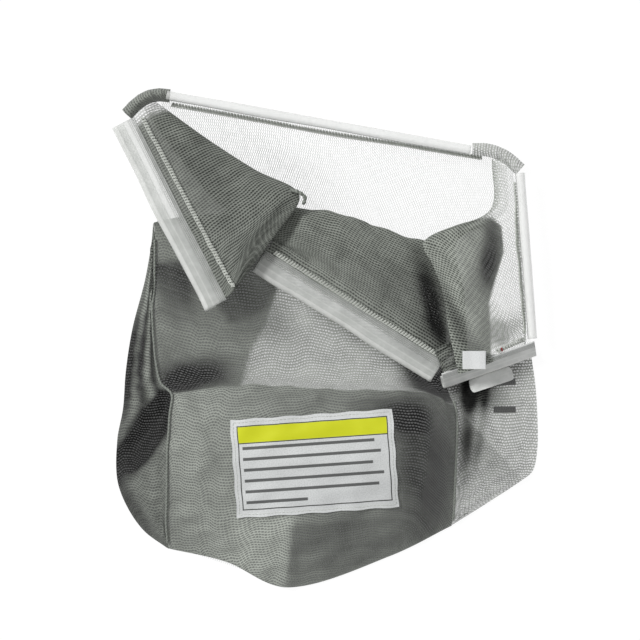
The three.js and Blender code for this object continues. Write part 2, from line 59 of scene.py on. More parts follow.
FLANGE_WIDTH = 7.5
FLANGE_THICKNESS = 1.4
HOOK_WIDTH = 19
HOOK_DEPTH = 9.5
HOOK_WALL = 1.4
HOOK_SLOT = 6
RIB_COUNT = 4
RIB_HEIGHT = 0.8

SERGE_SETBACK = 2.6
SERGE_WIDTH = 4.4
SERGE_HEIGHT = 1.5
SERGE_PITCH = 3.3
LEFT_STITCH_EXTRA = 3.4
LEFT_STITCH_SPREAD = 7

LABEL_WIDTH = 171
LABEL_HEIGHT = 104
LABEL_TURN = 0.07
LABEL_CENTRE = (-10, -132)
TAG_WIDTH = 25
TAG_HEIGHT = 19
TAG_CORNER = (145.5, -32.5, 46.4)
TAG_SLOPE = -0.19
STIFFENER_LENGTH = 48
STIFFENER_WIDTH = 15
STIFFENER_CENTRE = (177, -44)
STIFFENER_TURN = 0.32
TACK_LENGTH = 4

BACK_ROWS = [
    [(-160, -221), (-84, -246), (-34, -259), (66, -230), (132, -197)],
    [(-205, -176), (-100, -190), (-20, -200), (90, -180), (206, -146)],
    [(-215, -110), (-100, -110), (0, -112), (110, -112), (221, -112)],
    [(-207, -38), (-100, -38), (0, -38), (110, -38), (221, -38)],
    [(-187, 60), (-90, 60), (10, 60), (110, 60), (214, 60)],
    [(-177, 128), (-80, 130), (10, 130), (110, 130), (209, 130)],
    [(-174, 200), (-80, 192), (10, 182), (110, 172), (206, 168)],
    [(-172, 256), (-80, 240), (0, 225), (80, 211), (190, 193)],
]
MAIN_ROWS = [
    [(-61, 93, 33), (-14, 64, 33), (33, 34, 33), (80, 5, 33), (126, -24, 33)],
    [(-54, 103, 33.5), (-8, 74, 33.5), (40, 44, 33.5), (87, 15, 33.5), (137, -10, 33.5)],
    [(-112, 113, 25), (-34, 104, 30), (25, 84, 33), (75, 62, 32), (138, 36, 30)],
    [(-174, 121, 15), (-60, 131, 20), (15, 126, 22), (58, 111, 22), (117, 92, 21)],
    [(-180, 122, 11), (-62, 137, 14), (16, 131, 15), (58, 116, 15), (118, 97, 15)],
    [(-179, 112, 8), (-62, 127, 9), (15, 121, 9), (58, 105, 9), (118, 85, 9)],
    [(-180, 60, 12), (-80, 60, 14), (15, 54, 14), (72, 42, 13), (128, 34, 12)],
    [(-181, 20, 19), (-92, 14, 20), (0, 2, 18), (74, -8, 15), (129, -10, 12)],
    [(-177, -30, 21), (-96, -28, 16), (10, -36, 14), (84, -40, 13), (127, -38, 11)],
    [(-172, -48, 23), (-90, -41, 21), (14, -46, 22), (100, -50, 19), (132, -58, 14)],
    [(-160, -60, 27), (-86, -50, 45), (17, -55, 51), (112, -59, 43), (138, -73, 23)],
    [(-162, -82, 30), (-92, -70, 55), (12, -75, 60), (108, -79, 52), (140, -90, 27)],
    [(-165, -122, 27), (-98, -112, 53), (5, -116, 59), (106, -118, 51), (139, -122, 27)],
    [(-166, -165, 20), (-102, -165, 37), (-8, -170, 45), (100, -162, 35), (138, -155, 20)],
    [(-167, -200, 10), (-106, -212, 16), (-32, -228, 24), (88, -205, 14), (137, -185, 10)],
    [(-165, -223, 2.1), (-104, -237, 2.1), (-41, -264, 2.1), (70, -231, 2.1), (135, -199, 2.1)],
]
# Creases: start, end, reach and height.
MAIN_CREASES = [
    ((-36, -200), (-40, -262), 9, 6),
    ((-150, -70), (-124, -128), 12, 6),
    ((-155, -120), (-105, -215), 10, 5),
    ((-10, -60), (-50, -70), 10, 4),
    ((128, -80), (100, -205), 12, 5),
    ((-170, 40), (-70, -36), 16, 6),
    ((-160, -20), (-110, -44), 8, -4),
    ((-24, 128), (12, 90), 8, 3),
]
LEFT_OUTLINE = [(-181, 122), (-183, 100), (-190, 60), (-203, 10), (-210, -35), (-213, -75),
                (-219, -108), (-219, -150), (-209, -178), (-191, -204), (-167, -222)]
LEFT_CREASES = [
    ((-166, -72), (-202, -122), 13, -15),
    ((-196, -60), (-214, -104), 8, 5),
    ((-190, 50), (-186, -40), 7, 4),
    ((-212, -150), (-172, -205), 9, 4),
]
RIGHT_OUTLINE = [(219, -14), (221, -28), (224, -50), (226, -80), (226, -118), (221, -141),
                 (209, -151), (168, -178), (136, -198)]
RIGHT_CREASES = [
    ((156, -88), (206, -146), 10, 5),
    ((153, -68), (155, -84), 5, 2.5),
    ((168, -66), (172, -96), 6, 3),
    ((156, -108), (172, -164), 9, -4),
]
LEFT_GUSSET_ROWS = [
    [(-199, 235, 12), (-190, 243, 15), (-178, 246, 12), (-171, 245, 8), (-178, 241, 5), (-186, 236, 4)],
    [(-175.2, 186.8, 22), (-156, 200, 24), (-136, 209, 20), (-124, 211, 13), (-134, 205, 8), (-154, 192, 8)],
    [(-150.8, 138.6, 32), (-124, 158, 36), (-90, 175, 29), (-73, 178, 20), (-86, 172, 13), (-120, 150, 16)],
    [(-126.1, 90.3, 42), (-96, 118, 46), (-44, 146, 37), (-26, 151, 30), (-38, 142, 26), (-84, 116, 29)],
    [(-113.9, 65.6, 47), (-90, 88, 52), (-64, 106, 49), (-51, 109, 44), (-60, 101, 38), (-82, 85, 38)],
    [(-102.9, 43, 51), (-96, 49, 54), (-92, 54, 53), (-89, 58, 48), (-91, 55, 43), (-95, 50, 42)],
]
RIGHT_GUSSET_ROWS = [
    [(200, 173, 5), (197, 180, 13), (190, 186, 13), (178, 185, 9), (184, 181, 6), (194, 178, 4)],
    [(203, 140, 5), (198, 142, 14), (186, 140, 18), (176, 136, 15), (181, 134, 10), (192, 134, 7)],
    [(205.5, 108, 5), (184, 112, 20), (132, 110, 33), (105, 101, 34), (112, 98, 27), (140, 102, 20)],
    [(208, 70, 5), (188, 74, 25), (142, 64, 42), (115, 76, 41), (121, 72, 36), (142, 74, 28)],
    [(210.5, 40, 5), (190, 36, 28), (150, 36, 46), (125, 48, 44), (131, 46, 39), (148, 48, 30)],
    [(212, 18, 5), (196, 8, 29), (160, 10, 46), (131, 10, 46), (137, 9, 41), (150, 12, 34)],
    [(212, -4, 12), (203, -7, 25), (176, -19, 37.2), (140, -31.5, 42), (143, -28, 38), (152, -22, 34)],
]
# Corner wraps: [x, y, height] along the middle.
TOP_LEFT_PATH = [(-209, 237, 12), (-198, 248, 20), (-187, 255, 24), (-175, 257.5, 22), (-163, 256.5, 17)]
TOP_RIGHT_PATH = [(157, 199.6, 16), (174, 199, 17), (192, 192, 15), (208, 178.5, 14)]
GATHER_PATH = [(124, -8, 38), (130, -21, 41), (134, -33, 43)]
CORNER_WIDTH = 14
GATHER_WIDTH = 19
GATHER_FOOT = COLLAR_EDGE + 1.9
# Binding channels: name, sewn edge from and to, roll in degrees.
BINDINGS = [
    ("top_binding", (154, 194, BINDING_FOOT), (-167, 252, BINDING_FOOT), 90),
    ("right_binding", (215.7, -1, BINDING_FOOT), (202.5, 174, BINDING_FOOT), 90),
    ("left_binding", (-201, 234, 13), (-102, 41, 51), 0),
    ("front_binding", (-61, 93, COLLAR_EDGE), (126, -24, COLLAR_EDGE), 0),
    ("lower_right_binding", (124, -38, 44), (222, -4, 31), -50),
]


# Curves and surfaces


def through(points, wanted):
    """Places on a smooth curve through points, which may be rows of places, at the wanted shares."""
    points = np.asarray(points, float)
    padded = np.concatenate([[2 * points[0] - points[1]], points, [2 * points[-1] - points[-2]]])
    spans = np.clip(wanted, 0, 1) * (len(points) - 1)
    first = np.minimum(spans.astype(int), len(points) - 2)
    p0, p1, p2, p3 = (padded[first + n] for n in range(4))
    d0, d1, d2 = (
        np.maximum(np.linalg.norm(b - a, axis=-1, keepdims=True), 1e-6) ** 0.5
        for a, b in ((p0, p1), (p1, p2), (p2, p3))
    )
    start = ((p1 - p0) / d0 - (p2 - p0) / (d0 + d1) + (p2 - p1) / d1) * d1
    end = ((p2 - p1) / d1 - (p3 - p1) / (d1 + d2) + (p3 - p2) / d2) * d1
    t = (spans - first).reshape((-1,) + (1,) * (points.ndim - 1))
    return (
        p1
        + start * t
        + (3 * (p2 - p1) - 2 * start - end) * t**2
        + (2 * (p1 - p2) + start + end) * t**3
    )


def loft(rows, us, vs):
    """A grid of places on the surface through cross rows: us along each row, vs from row to row."""
    return through(np.stack([through(row, us) for row in rows]), vs)


def away_from_line(grid, start, end):
    """Plan distance of each place from a line between two plan points."""
    start, end = np.array(start, float), np.array(end, float)
    along = end - start
    share = np.clip(((grid[..., :2] - start) @ along) / (along @ along), 0, 1)
    nearest = start + share[..., None] * along
    return np.linalg.norm(grid[..., :2] - nearest, axis=-1)


def crease(grid, creases, floor=SECOND_CLOTH):
    """Adds soft folds to a grid, and keeps it above the floor height."""
    for start, end, reach, height in creases:
        grid[..., 2] += height * np.exp(-((away_from_line(grid, start, end) / reach) ** 2))
    grid[..., 2] = np.maximum(grid[..., 2], floor)
    return grid


def shares(count):
    return np.linspace(0, 1, count + 1)


def smooth_step(value, low, high):
    share = np.clip((value - low) / (high - low), 0, 1)
    return share * share * (3 - 2 * share)


def unit(vectors):
    return vectors / np.maximum(np.linalg.norm(vectors, axis=-1, keepdims=True), 1e-9)


def path_length(places, axis=0):
    """How far along a path, or each path of a grid, every place is."""
    steps = np.linalg.norm(np.diff(places, axis=axis), axis=-1)
    zero = np.zeros_like(np.take(steps, [0], axis=axis))
    return np.concatenate([zero, np.cumsum(steps, axis=axis)], axis=axis)


# The steps of a strip of cloth that runs on under a channel, and the deepest painted shade the cloth may
# take.
ALLOWANCE_STEPS = 6
DEEPEST_PAINTED_SHADE = -2
# The axis across each edge of a grid, and whether the edge is at its last line.
EDGES = {"left": (1, False), "right": (1, True), "start": (0, False), "end": (0, True)}


class Cloth:
    """A panel as a fine grid of places. face is 1 where its upper side is the side its normals point to."""

    def __init__(self, grid, face=1):
        self.grid = grid
        self.face = face
        self.measure()

    def measure(self):
        across = np.gradient(self.grid, axis=1)
        along = np.gradient(self.grid, axis=0)
        self.normals = unit(np.cross(across, along)) * self.face
        middle = self.grid.shape[1] // 2
        widths = path_length(self.grid, axis=1)
        self.weave_u = widths - widths[:, [middle]]
        self.weave_v = path_length(self.grid, axis=0)

    def inside(self, reach):
        """1 away from the edges and 0 on them, over that many millimetres."""
        to_right = self.weave_u[:, [-1]] - self.weave_u
        to_left = self.weave_u - self.weave_u[:, [0]]
        to_end = self.weave_v[[-1], :] - self.weave_v
        nearest = np.minimum(np.minimum(to_left, to_right), np.minimum(self.weave_v, to_end))
        return smooth_step(nearest, 0, reach)

    def ripple(self, seed, length, depth, reach=12, mask=1.0, low=0.3):
        """Small creases of a limp cloth: waves of about that length, and none at the edges."""
        chance = np.random.default_rng(seed)
        total = np.zeros(self.weave_u.shape)
        for _ in range(16):
            wave = length * chance.uniform(0.6, 1.9)
            turn = chance.uniform(0, math.pi)
            distance = self.weave_u * math.cos(turn) + self.weave_v * math.sin(turn)
            bend = 6 * np.sin(self.weave_v / (2.3 * wave) + chance.uniform(0, 6))
            swing = np.sin(2 * math.pi * (distance + bend) / wave + chance.uniform(0, 6))
            total += (wave / length) * (1 - 2 * np.abs(swing)) * chance.uniform(0.4, 1)
        lift = depth * total / 4 * self.inside(reach) * mask
        self.grid = self.grid + self.normals * lift[..., None]
        self.grid[..., 2] = np.maximum(self.grid[..., 2], low)
        self.measure()
        return self

    def place(self, u, v, lift=0.0):
        """The places at shares u, v of the grid, lifted off its upper side."""
        rows, columns = self.grid.shape[0] - 1, self.grid.shape[1] - 1
        x, y = np.clip(u, 0, 1) * columns, np.clip(v, 0, 1) * rows
        i = np.minimum(x.astype(int), columns - 1)
        j = np.minimum(y.astype(int), rows - 1)
        s, t = (x - i)[..., None], (y - j)[..., None]

        def blend(field):
            near = field[j, i] * (1 - s) + field[j, i + 1] * s
            far = field[j + 1, i] * (1 - s) + field[j + 1, i + 1] * s
            return near * (1 - t) + far * t

        return blend(self.grid) + unit(blend(self.normals)) * lift

    def find(self, plan, v_from=0.0, v_to=1.0):
        """The (u, v) of the grid under each plan point."""
        rows, columns = self.grid.shape[0] - 1, self.grid.shape[1] - 1
        first, last = int(v_from * rows), int(math.ceil(v_to * rows))
        part = self.grid[first:last + 1, :, :2].reshape(-1, 2)
        points = plan.reshape(-1, 2)
        nearest = np.concatenate([
            np.argmin(((points[n:n + 400, None] - part[None]) ** 2).sum(-1), axis=1)
            for n in range(0, len(points), 400)
        ])
        u = (nearest % (columns + 1)) / columns
        v = (nearest // (columns + 1) + first) / rows
        step = 1e-3
        for _ in range(4):
            here = self.place(u, v)[:, :2]
            by_u = (self.place(u + step, v)[:, :2] - self.place(u - step, v)[:, :2]) / (2 * step)
            by_v = (self.place(u, v + step)[:, :2] - self.place(u, v - step)[:, :2]) / (2 * step)
            miss = points - here
            size = by_u[:, 0] * by_v[:, 1] - by_u[:, 1] * by_v[:, 0]
            size = np.where(np.abs(size) < 1, 1, size)
            u = np.clip(u + 0.8 * (miss[:, 0] * by_v[:, 1] - miss[:, 1] * by_v[:, 0]) / size, 0, 1)
            v = np.clip(v + 0.8 * (by_u[:, 0] * miss[:, 1] - by_u[:, 1] * miss[:, 0]) / size, v_from, v_to)
        return u.reshape(plan.shape[:-1]), v.reshape(plan.shape[:-1])

    def edge_line(self, edge, distance, first=0.0, last=1.0):
        """Places and normals along a line inside an edge, from share first to last of it.

        distance is how far inside, as one number or one for each line of the grid."""
        turned = {
            "left": lambda field: field,
            "right": lambda field: field[:, ::-1],
            "start": lambda field: field.swapaxes(0, 1),
            "end": lambda field: field[::-1].swapaxes(0, 1),
        }[edge]
        grid, normals = turned(self.grid), turned(self.normals)
        distances = np.broadcast_to(distance, len(grid))
        low, high = int(first * (len(grid) - 1)), int(last * (len(grid) - 1))
        places, ups = [], []
        for row in range(low, high + 1):
            far = path_length(grid[row])
            places.append([np.interp(distances[row], far, grid[row, :, k]) for k in range(3)])
            ups.append([np.interp(distances[row], far, normals[row, :, k]) for k in range(3)])
        return np.array(places), unit(np.array(ups))

    def run_under(self, edge, width, drop):
        """Adds a strip of cloth along an edge, that steps down under what is sewn to it."""
        axis, is_last = EDGES[edge]
        grid = self.grid.swapaxes(0, 1) if axis == 1 else self.grid
        grid = grid[::-1] if is_last else grid
        outward = unit(grid[0] - grid[3])
        share = (np.arange(ALLOWANCE_STEPS, 0, -1) / ALLOWANCE_STEPS)[:, None, None]
        strip = grid[0] + outward * share * width
        strip[..., 2] = grid[0, :, 2] - drop * np.minimum(share[..., 0] * 2.5, 1)
        grid = np.concatenate([strip, grid])
        grid = grid[::-1] if is_last else grid
        self.grid = grid.swapaxes(0, 1) if axis == 1 else grid
        self.measure()

    def soft_spots(self, spots, first=0.0, last=1.0):
        """A mask of soft ovals, between two shares of the columns.

        Each is its centre x, y, half length, half width, turn in degrees and strength."""
        total = np.zeros(self.grid.shape[:2])
        v = shares(self.grid.shape[0] - 1)[:, None]
        part = smooth_step(v, first - 0.004, first + 0.008)
        part = part * (1 - smooth_step(v, last - 0.008, last + 0.004))
        for x, y, length, width, turn, strength in spots:
            away = self.grid[..., :2] - (x, y)
            angle = math.radians(turn)
            along = away @ (math.cos(angle), math.sin(angle))
            side = away @ (-math.sin(angle), math.cos(angle))
            oval = np.exp(-((along / length) ** 2 + (side / width) ** 2) ** 1.4)
            total += strength * oval
        return total * part


def back_grid(columns, rows):
    flat = [[(x, y, FLOOR_CLOTH) for x, y in row] for row in BACK_ROWS]
    return loft(flat, shares(columns), shares(rows))


def main_v(row):
    return row / (len(MAIN_ROWS) - 1)


def side_grid(outline, seam_u, first_row, creases, columns, rows):
    """Cloth between its outline on the floor and the main panel's edge, puffed up between them."""
    v = shares(rows)
    floor = through([(x, y, SECOND_CLOTH) for x, y in outline], v)
    seam = loft(MAIN_ROWS, np.array([seam_u]), main_v(first_row) + v * (1 - main_v(first_row)))
    seam = crease(seam, MAIN_CREASES)[:, 0]
    u = shares(columns)[None, :, None]
    grid = floor[:, None] * (1 - u) + seam[:, None] * u
    rise = (seam[:, 2] - floor[:, 2])[:, None]
    grid[..., 2] += SIDE_PUFF * rise * np.sin(math.pi * u[..., 0])
    at_seam = smooth_step(u, 0.86, 1.0)
    return crease(grid.copy(), creases) * (1 - at_seam) + grid * at_seam


def arch_grid(path, width, foot, columns, rows):
    """An arch of cloth along a path, with its feet on the layer below."""
    path = np.array(path, float)
    v = shares(rows)
    line = through(np.column_stack([path[:, :2], np.zeros(len(path))]), v)
    count = np.arange(len(path))
    heights = through(np.column_stack([count, path[:, 2], 0 * count]), v)[:, 1]
    ahead = unit(np.gradient(line, axis=0))
    turn = math.pi * shares(columns)
    out = width / 2 * np.cos(turn)
    grid = np.empty((rows + 1, columns + 1, 3))
    grid[..., 0] = line[:, [0]] + ahead[:, [1]] * out
    grid[..., 1] = line[:, [1]] - ahead[:, [0]] * out
    grid[..., 2] = foot + (heights - foot)[:, None] * np.sin(turn)
    return grid


# Meshes


def plan_shift():
    """From the bag's own plan to the shared frame, taken from the back panel's box."""
    low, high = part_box("back_panel")
    own = back_grid(12, 16).reshape(-1, 3)
    middle = (own.min(axis=0) + own.max(axis=0)) / 2
    return np.array([(low[0] + high[0]) * 500 - middle[0], (low[1] + high[1]) * 500 - middle[1], 0.0])


PLAN_SHIFT = plan_shift()


def to_frame(places):
    return (np.asarray(places, float) + PLAN_SHIFT) / 1000


def grid_faces(rows, columns, around=False):
    """Four-sided faces of a grid with that many rows and columns of places."""
    number = np.arange(rows * columns).reshape(rows, columns)
    if around:
        number = np.concatenate([number, number[:, :1]], axis=1)
    corners = (number[:-1, :-1], number[:-1, 1:], number[1:, 1:], number[1:, :-1])
    return np.stack(corners, axis=-1).reshape(-1, 4)


def make_piece(name, places, faces, material, weave=None, plan=None, caps=(), **masks):
    """A piece from places in plan millimetres.

    weave and plan are UV maps, and masks are numbers for every place."""
    places = np.asarray(places, float).reshape(-1, 3)
    mesh = bpy.data.meshes.new(name)
    polygons = [list(map(int, face)) for face in faces] + [list(map(int, cap)) for cap in caps]
    mesh.from_pydata(to_frame(places).tolist(), [], polygons)
    corner = np.empty(len(mesh.loops), int)
    mesh.loops.foreach_get("vertex_index", corner)
    for title, layer in (("weave", weave), ("plan", plan)):
        if layer is not None:
            uv = mesh.uv_layers.new(name=title)
            uv.data.foreach_set("uv", np.asarray(layer, float).reshape(-1, 2)[corner].ravel())
    for title, values in masks.items():
        attribute = mesh.attributes.new(title, "FLOAT", "POINT")
        attribute.data.foreach_set("value", np.asarray(values, float).ravel())
    mesh.shade_smooth()
    mesh.materials.append(material)
    piece = bpy.data.objects.new(name, mesh)
    bpy.context.collection.objects.link(piece)
    return piece


def settle(piece, slot, *nodes):
    """Puts a finished piece on the bag's one body, in place of its solids."""
    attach(piece, "root")
    if nodes:
        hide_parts(*nodes)
    return piece


def cloth_piece(name, cloth, material, see_through, tone, allowances=()):
    """A cloth panel's piece. allowances are strips that run on under what is sewn to an edge: the edge,
    their width and how far they step down."""
    size = cloth.grid.shape[:2]
    # One mask opens the knit; the other is painted shade and light in the yarn's colour.
    masks = {
        "see_through": np.broadcast_to(np.clip(see_through, 0, 1), size),
        "tone": np.broadcast_to(np.clip(tone, DEEPEST_PAINTED_SHADE, 1), size),
    }
    whole = Cloth(cloth.grid, cloth.face)
    for edge, width, drop in allowances:
        whole.run_under(edge, width, drop)
        axis, is_last = EDGES[edge]
        extra = [(0, 0), (0, 0)]
        extra[axis] = (0, ALLOWANCE_STEPS) if is_last else (ALLOWANCE_STEPS, 0)
        masks = {title: np.pad(values, extra, mode="edge") for title, values in masks.items()}
    return make_piece(
        name,
        whole.grid,
        grid_faces(*whole.grid.shape[:2]),
        material,
        weave=np.stack([whole.weave_u, whole.weave_v], axis=-1),
        plan=whole.grid[..., :2],
        **masks,
    )


def tube(path, radius, sides, lean):
    """Places and faces of a round tube along a path. lean is a direction that isn't along the path."""
    ahead = unit(np.gradient(path, axis=0))
    side = unit(np.cross(ahead, lean))
    up = np.cross(side, ahead)
    angle = np.arange(sides) / sides * 2 * math.pi
    reach = np.broadcast_to(radius, len(path))[:, None, None]
    ring = side[:, None] * np.cos(angle)[:, None] + up[:, None] * np.sin(angle)[:, None]
    return path[:, None] + ring * reach, grid_faces(len(path), sides, around=True)


class Bundle:
    """Several tubes gathered into one mesh, with how far along each place is as its UV."""

    def __init__(self):
        self.places, self.faces, self.weave, self.count = [], [], [], 0

    def add(self, path, radius, sides, lean):
        ring, faces = tube(path, radius, sides, lean)
        along = path_length(path)
        turn = np.arange(sides) / sides * 2 * math.pi
        self.places.append(ring.reshape(-1, 3))
        self.faces.append(faces + self.count)
        grid = np.meshgrid(turn, along)
        self.weave.append(np.stack(grid, axis=-1).reshape(-1, 2))
        self.count += ring.shape[0] * sides

    def piece(self, name, material):
        return make_piece(
            name,
            np.concatenate(self.places),
            np.concatenate(self.faces),
            material,
            weave=np.concatenate(self.weave),
        )


def evenly(path, step):
    """A path's places again, at even steps."""
    far = path_length(path)
    spots = np.linspace(0, far[-1], max(int(far[-1] / step), 2) + 1)
    return np.column_stack([np.interp(spots, far, path[:, k]) for k in range(path.shape[1])])


def soften(values, rounds):
    """Evens out a grid of heights by averaging each with its neighbours."""
    for _ in range(rounds):
        edge = np.pad(values, 1, mode="edge")
        values = (edge[:-2, 1:-1] + edge[2:, 1:-1] + edge[1:-1, :-2] + edge[1:-1, 2:] + 2 * values) / 6
    return values


# Materials


def srgb(red, green, blue):
    """A colour written as 0 to 255 on the screen."""
    def linear(level):
        level /= 255
        return level / 12.92 if level <= 0.04045 else ((level + 0.055) / 1.055) ** 2.4

    return (linear(red), linear(green), linear(blue), 1.0)


def add_node(tree, kind, inputs=None, **settings):
    node = tree.nodes.new(kind)
    for name, value in settings.items():
        setattr(node, name, value)
    for name, value in (inputs or {}).items():
        socket = node.inputs[name]
        if isinstance(value, bpy.types.NodeSocket):
            tree.links.new(value, socket)
        else:
            socket.default_value = value
    return node


def calc(tree, operation, *values):
    terms = dict(enumerate(values))
    return add_node(tree, "ShaderNodeMath", terms, operation=operation).outputs[0]


def clamp(tree, value):
    """The value, kept from 0 to 1."""
    return add_node(tree, "ShaderNodeClamp", {"Value": value}).outputs[0]


def noise(tree, places, scale, detail):
    """A cloudy pattern, about 0.5 on the whole."""
    terms = {"Vector": places, "Scale": scale, "Detail": detail}
    return add_node(tree, "ShaderNodeTexNoise", terms).outputs[0]


def blend_colour(tree, factor, first, second, blend_type="MIX"):
    terms = {0: factor, 6: first, 7: second}
    node = add_node(tree, "ShaderNodeMix", terms, data_type="RGBA", blend_type=blend_type)
    return node.outputs[2]


def ease(tree, value, low, high, to_low=0.0, to_high=1.0):
    terms = {"Value": value, "From Min": low, "From Max": high, "To Min": to_low, "To Max": to_high}
    return add_node(tree, "ShaderNodeMapRange", terms, interpolation_type="SMOOTHSTEP").outputs[0]


def new_group(name, inputs, outputs):
    """An empty node group. inputs are (name, default) numbers and outputs are (name, socket type)."""
    group = bpy.data.node_groups.new(name, "ShaderNodeTree")
    for title, value in inputs:
        socket = group.interface.new_socket(title, in_out="INPUT", socket_type="NodeSocketFloat")
        socket.default_value = value
    for title, kind in outputs:
        group.interface.new_socket(title, in_out="OUTPUT", socket_type=kind)
    return group, group.nodes.new("NodeGroupInput").outputs, group.nodes.new("NodeGroupOutput").inputs


def use_group(tree, group, **inputs):
    node = add_node(tree, "ShaderNodeGroup", node_tree=group)
    for title, value in inputs.items():
        socket = node.inputs[title.replace("_", " ").title()]
        if isinstance(value, bpy.types.NodeSocket):
            tree.links.new(value, socket)
        else:
            socket.default_value = value
    return node.outputs


def knit_group():
    """Knitted mesh: rows of small staggered slots between courses of yarn, a little uneven."""
    group, given, out = new_group(
        "knitted mesh",
        [("Course Pitch", 3.1), ("Wale Pitch", 3.3), ("Hole Width", 0.42), ("Hole Height", 0.3)],
        [("Yarn", "NodeSocketFloat"), ("Height", "NodeSocketFloat"), ("Unevenness", "NodeSocketFloat")],
    )
    uv = add_node(group, "ShaderNodeUVMap", uv_map="weave").outputs["UV"]
    pull = add_node(
        group, "ShaderNodeTexNoise", {"Vector": uv, "Scale": 0.04, "Detail": 2.0}
    ).outputs["Color"]
    centred = add_node(
        group, "ShaderNodeVectorMath", {0: pull, 1: (0.5, 0.5, 0.5)}, operation="SUBTRACT"
    ).outputs[0]
    strained = add_node(
        group, "ShaderNodeVectorMath", {0: centred, 1: (3.0, 4.0, 0.0), 2: uv}, operation="MULTIPLY_ADD"
    ).outputs[0]
    axes = add_node(group, "ShaderNodeSeparateXYZ", {"Vector": strained}).outputs
    course = calc(group, "DIVIDE", axes["Y"], given["Course Pitch"])
    row = calc(group, "FLOOR", course)
    stagger = calc(group, "MULTIPLY", calc(group, "FLOORED_MODULO", row, 2.0), 0.5)
    wale = calc(group, "ADD", calc(group, "DIVIDE", axes["X"], given["Wale Pitch"]), stagger)
    column = calc(group, "FLOOR", wale)
    across = calc(group, "SUBTRACT", calc(group, "FRACT", wale), 0.5)
    along = calc(group, "SUBTRACT", calc(group, "FRACT", course), 0.5)
    oval = calc(
        group,
        "ADD",
        calc(group, "POWER", calc(group, "DIVIDE", across, given["Hole Width"]), 2.0),
        calc(group, "POWER", calc(group, "DIVIDE", along, given["Hole Height"]), 2.0),
    )
    spot = add_node(group, "ShaderNodeCombineXYZ", {"X": row, "Y": column}).outputs[0]
    chance = add_node(group, "ShaderNodeTexWhiteNoise", {"Vector": spot}, noise_dimensions="3D").outputs[0]
    size = calc(group, "MULTIPLY_ADD", chance, 0.5, 0.75)
    yarn = ease(group, calc(group, "DIVIDE", oval, size), 0.45, 1.5)
    crest = calc(group, "COSINE", calc(group, "MULTIPLY", along, 2 * math.pi))
    loops = calc(group, "COSINE", calc(group, "MULTIPLY", across, 2 * math.pi))
    relief = calc(group, "MULTIPLY_ADD", crest, -0.3, calc(group, "MULTIPLY_ADD", loops, -0.12, 0.5))
    stripe = add_node(group, "ShaderNodeTexWhiteNoise", {"W": row}, noise_dimensions="1D").outputs[0]
    cloud = add_node(
        group, "ShaderNodeTexNoise", {"Vector": uv, "Scale": 0.03, "Detail": 4.0, "Roughness": 0.6}
    ).outputs[0]
    uneven = calc(group, "MULTIPLY_ADD", stripe, 0.3, calc(group, "MULTIPLY", cloud, 0.7))
    group.links.new(yarn, out["Yarn"])
    group.links.new(calc(group, "MULTIPLY", yarn, relief), out["Height"])
    group.links.new(uneven, out["Unevenness"])
    return group


def printed_block_group():
    """A plain rectangle of print on the plan UV map, from Left to Right and Bottom to Top."""
    group, given, out = new_group(
        "printed block",
        [("Left", 0.0), ("Right", 1.0), ("Bottom", 0.0), ("Top", 1.0), ("Softness", 0.3)],
        [("Ink", "NodeSocketFloat")],
    )
    uv = add_node(group, "ShaderNodeUVMap", uv_map="plan").outputs["UV"]
    axes = add_node(group, "ShaderNodeSeparateXYZ", {"Vector": uv}).outputs
    from_left = calc(group, "SUBTRACT", axes["X"], given["Left"])
    from_right = calc(group, "SUBTRACT", given["Right"], axes["X"])
    from_bottom = calc(group, "SUBTRACT", axes["Y"], given["Bottom"])
    from_top = calc(group, "SUBTRACT", given["Top"], axes["Y"])
    nearest = calc(
        group,
        "MINIMUM",
        calc(group, "MINIMUM", from_left, from_right),
        calc(group, "MINIMUM", from_bottom, from_top),
    )
    ink = ease(group, calc(group, "DIVIDE", nearest, given["Softness"]), -0.5, 0.5)
    group.links.new(ink, out["Ink"])
    return group


KNIT = knit_group()
PRINTED_BLOCK = printed_block_group()


def new_material(name):
    material = bpy.data.materials.new(name)
    material.use_nodes = True
    tree = material.node_tree
    return material, tree, tree.nodes["Principled BSDF"].inputs


def set_values(shader, **values):
    for name, value in values.items():
        title = name.replace("_", " ").title().replace("Ior", "IOR")
        shader[title].default_value = value


def mask(tree, name):
    return add_node(tree, "ShaderNodeAttribute", attribute_name=name).outputs["Fac"]


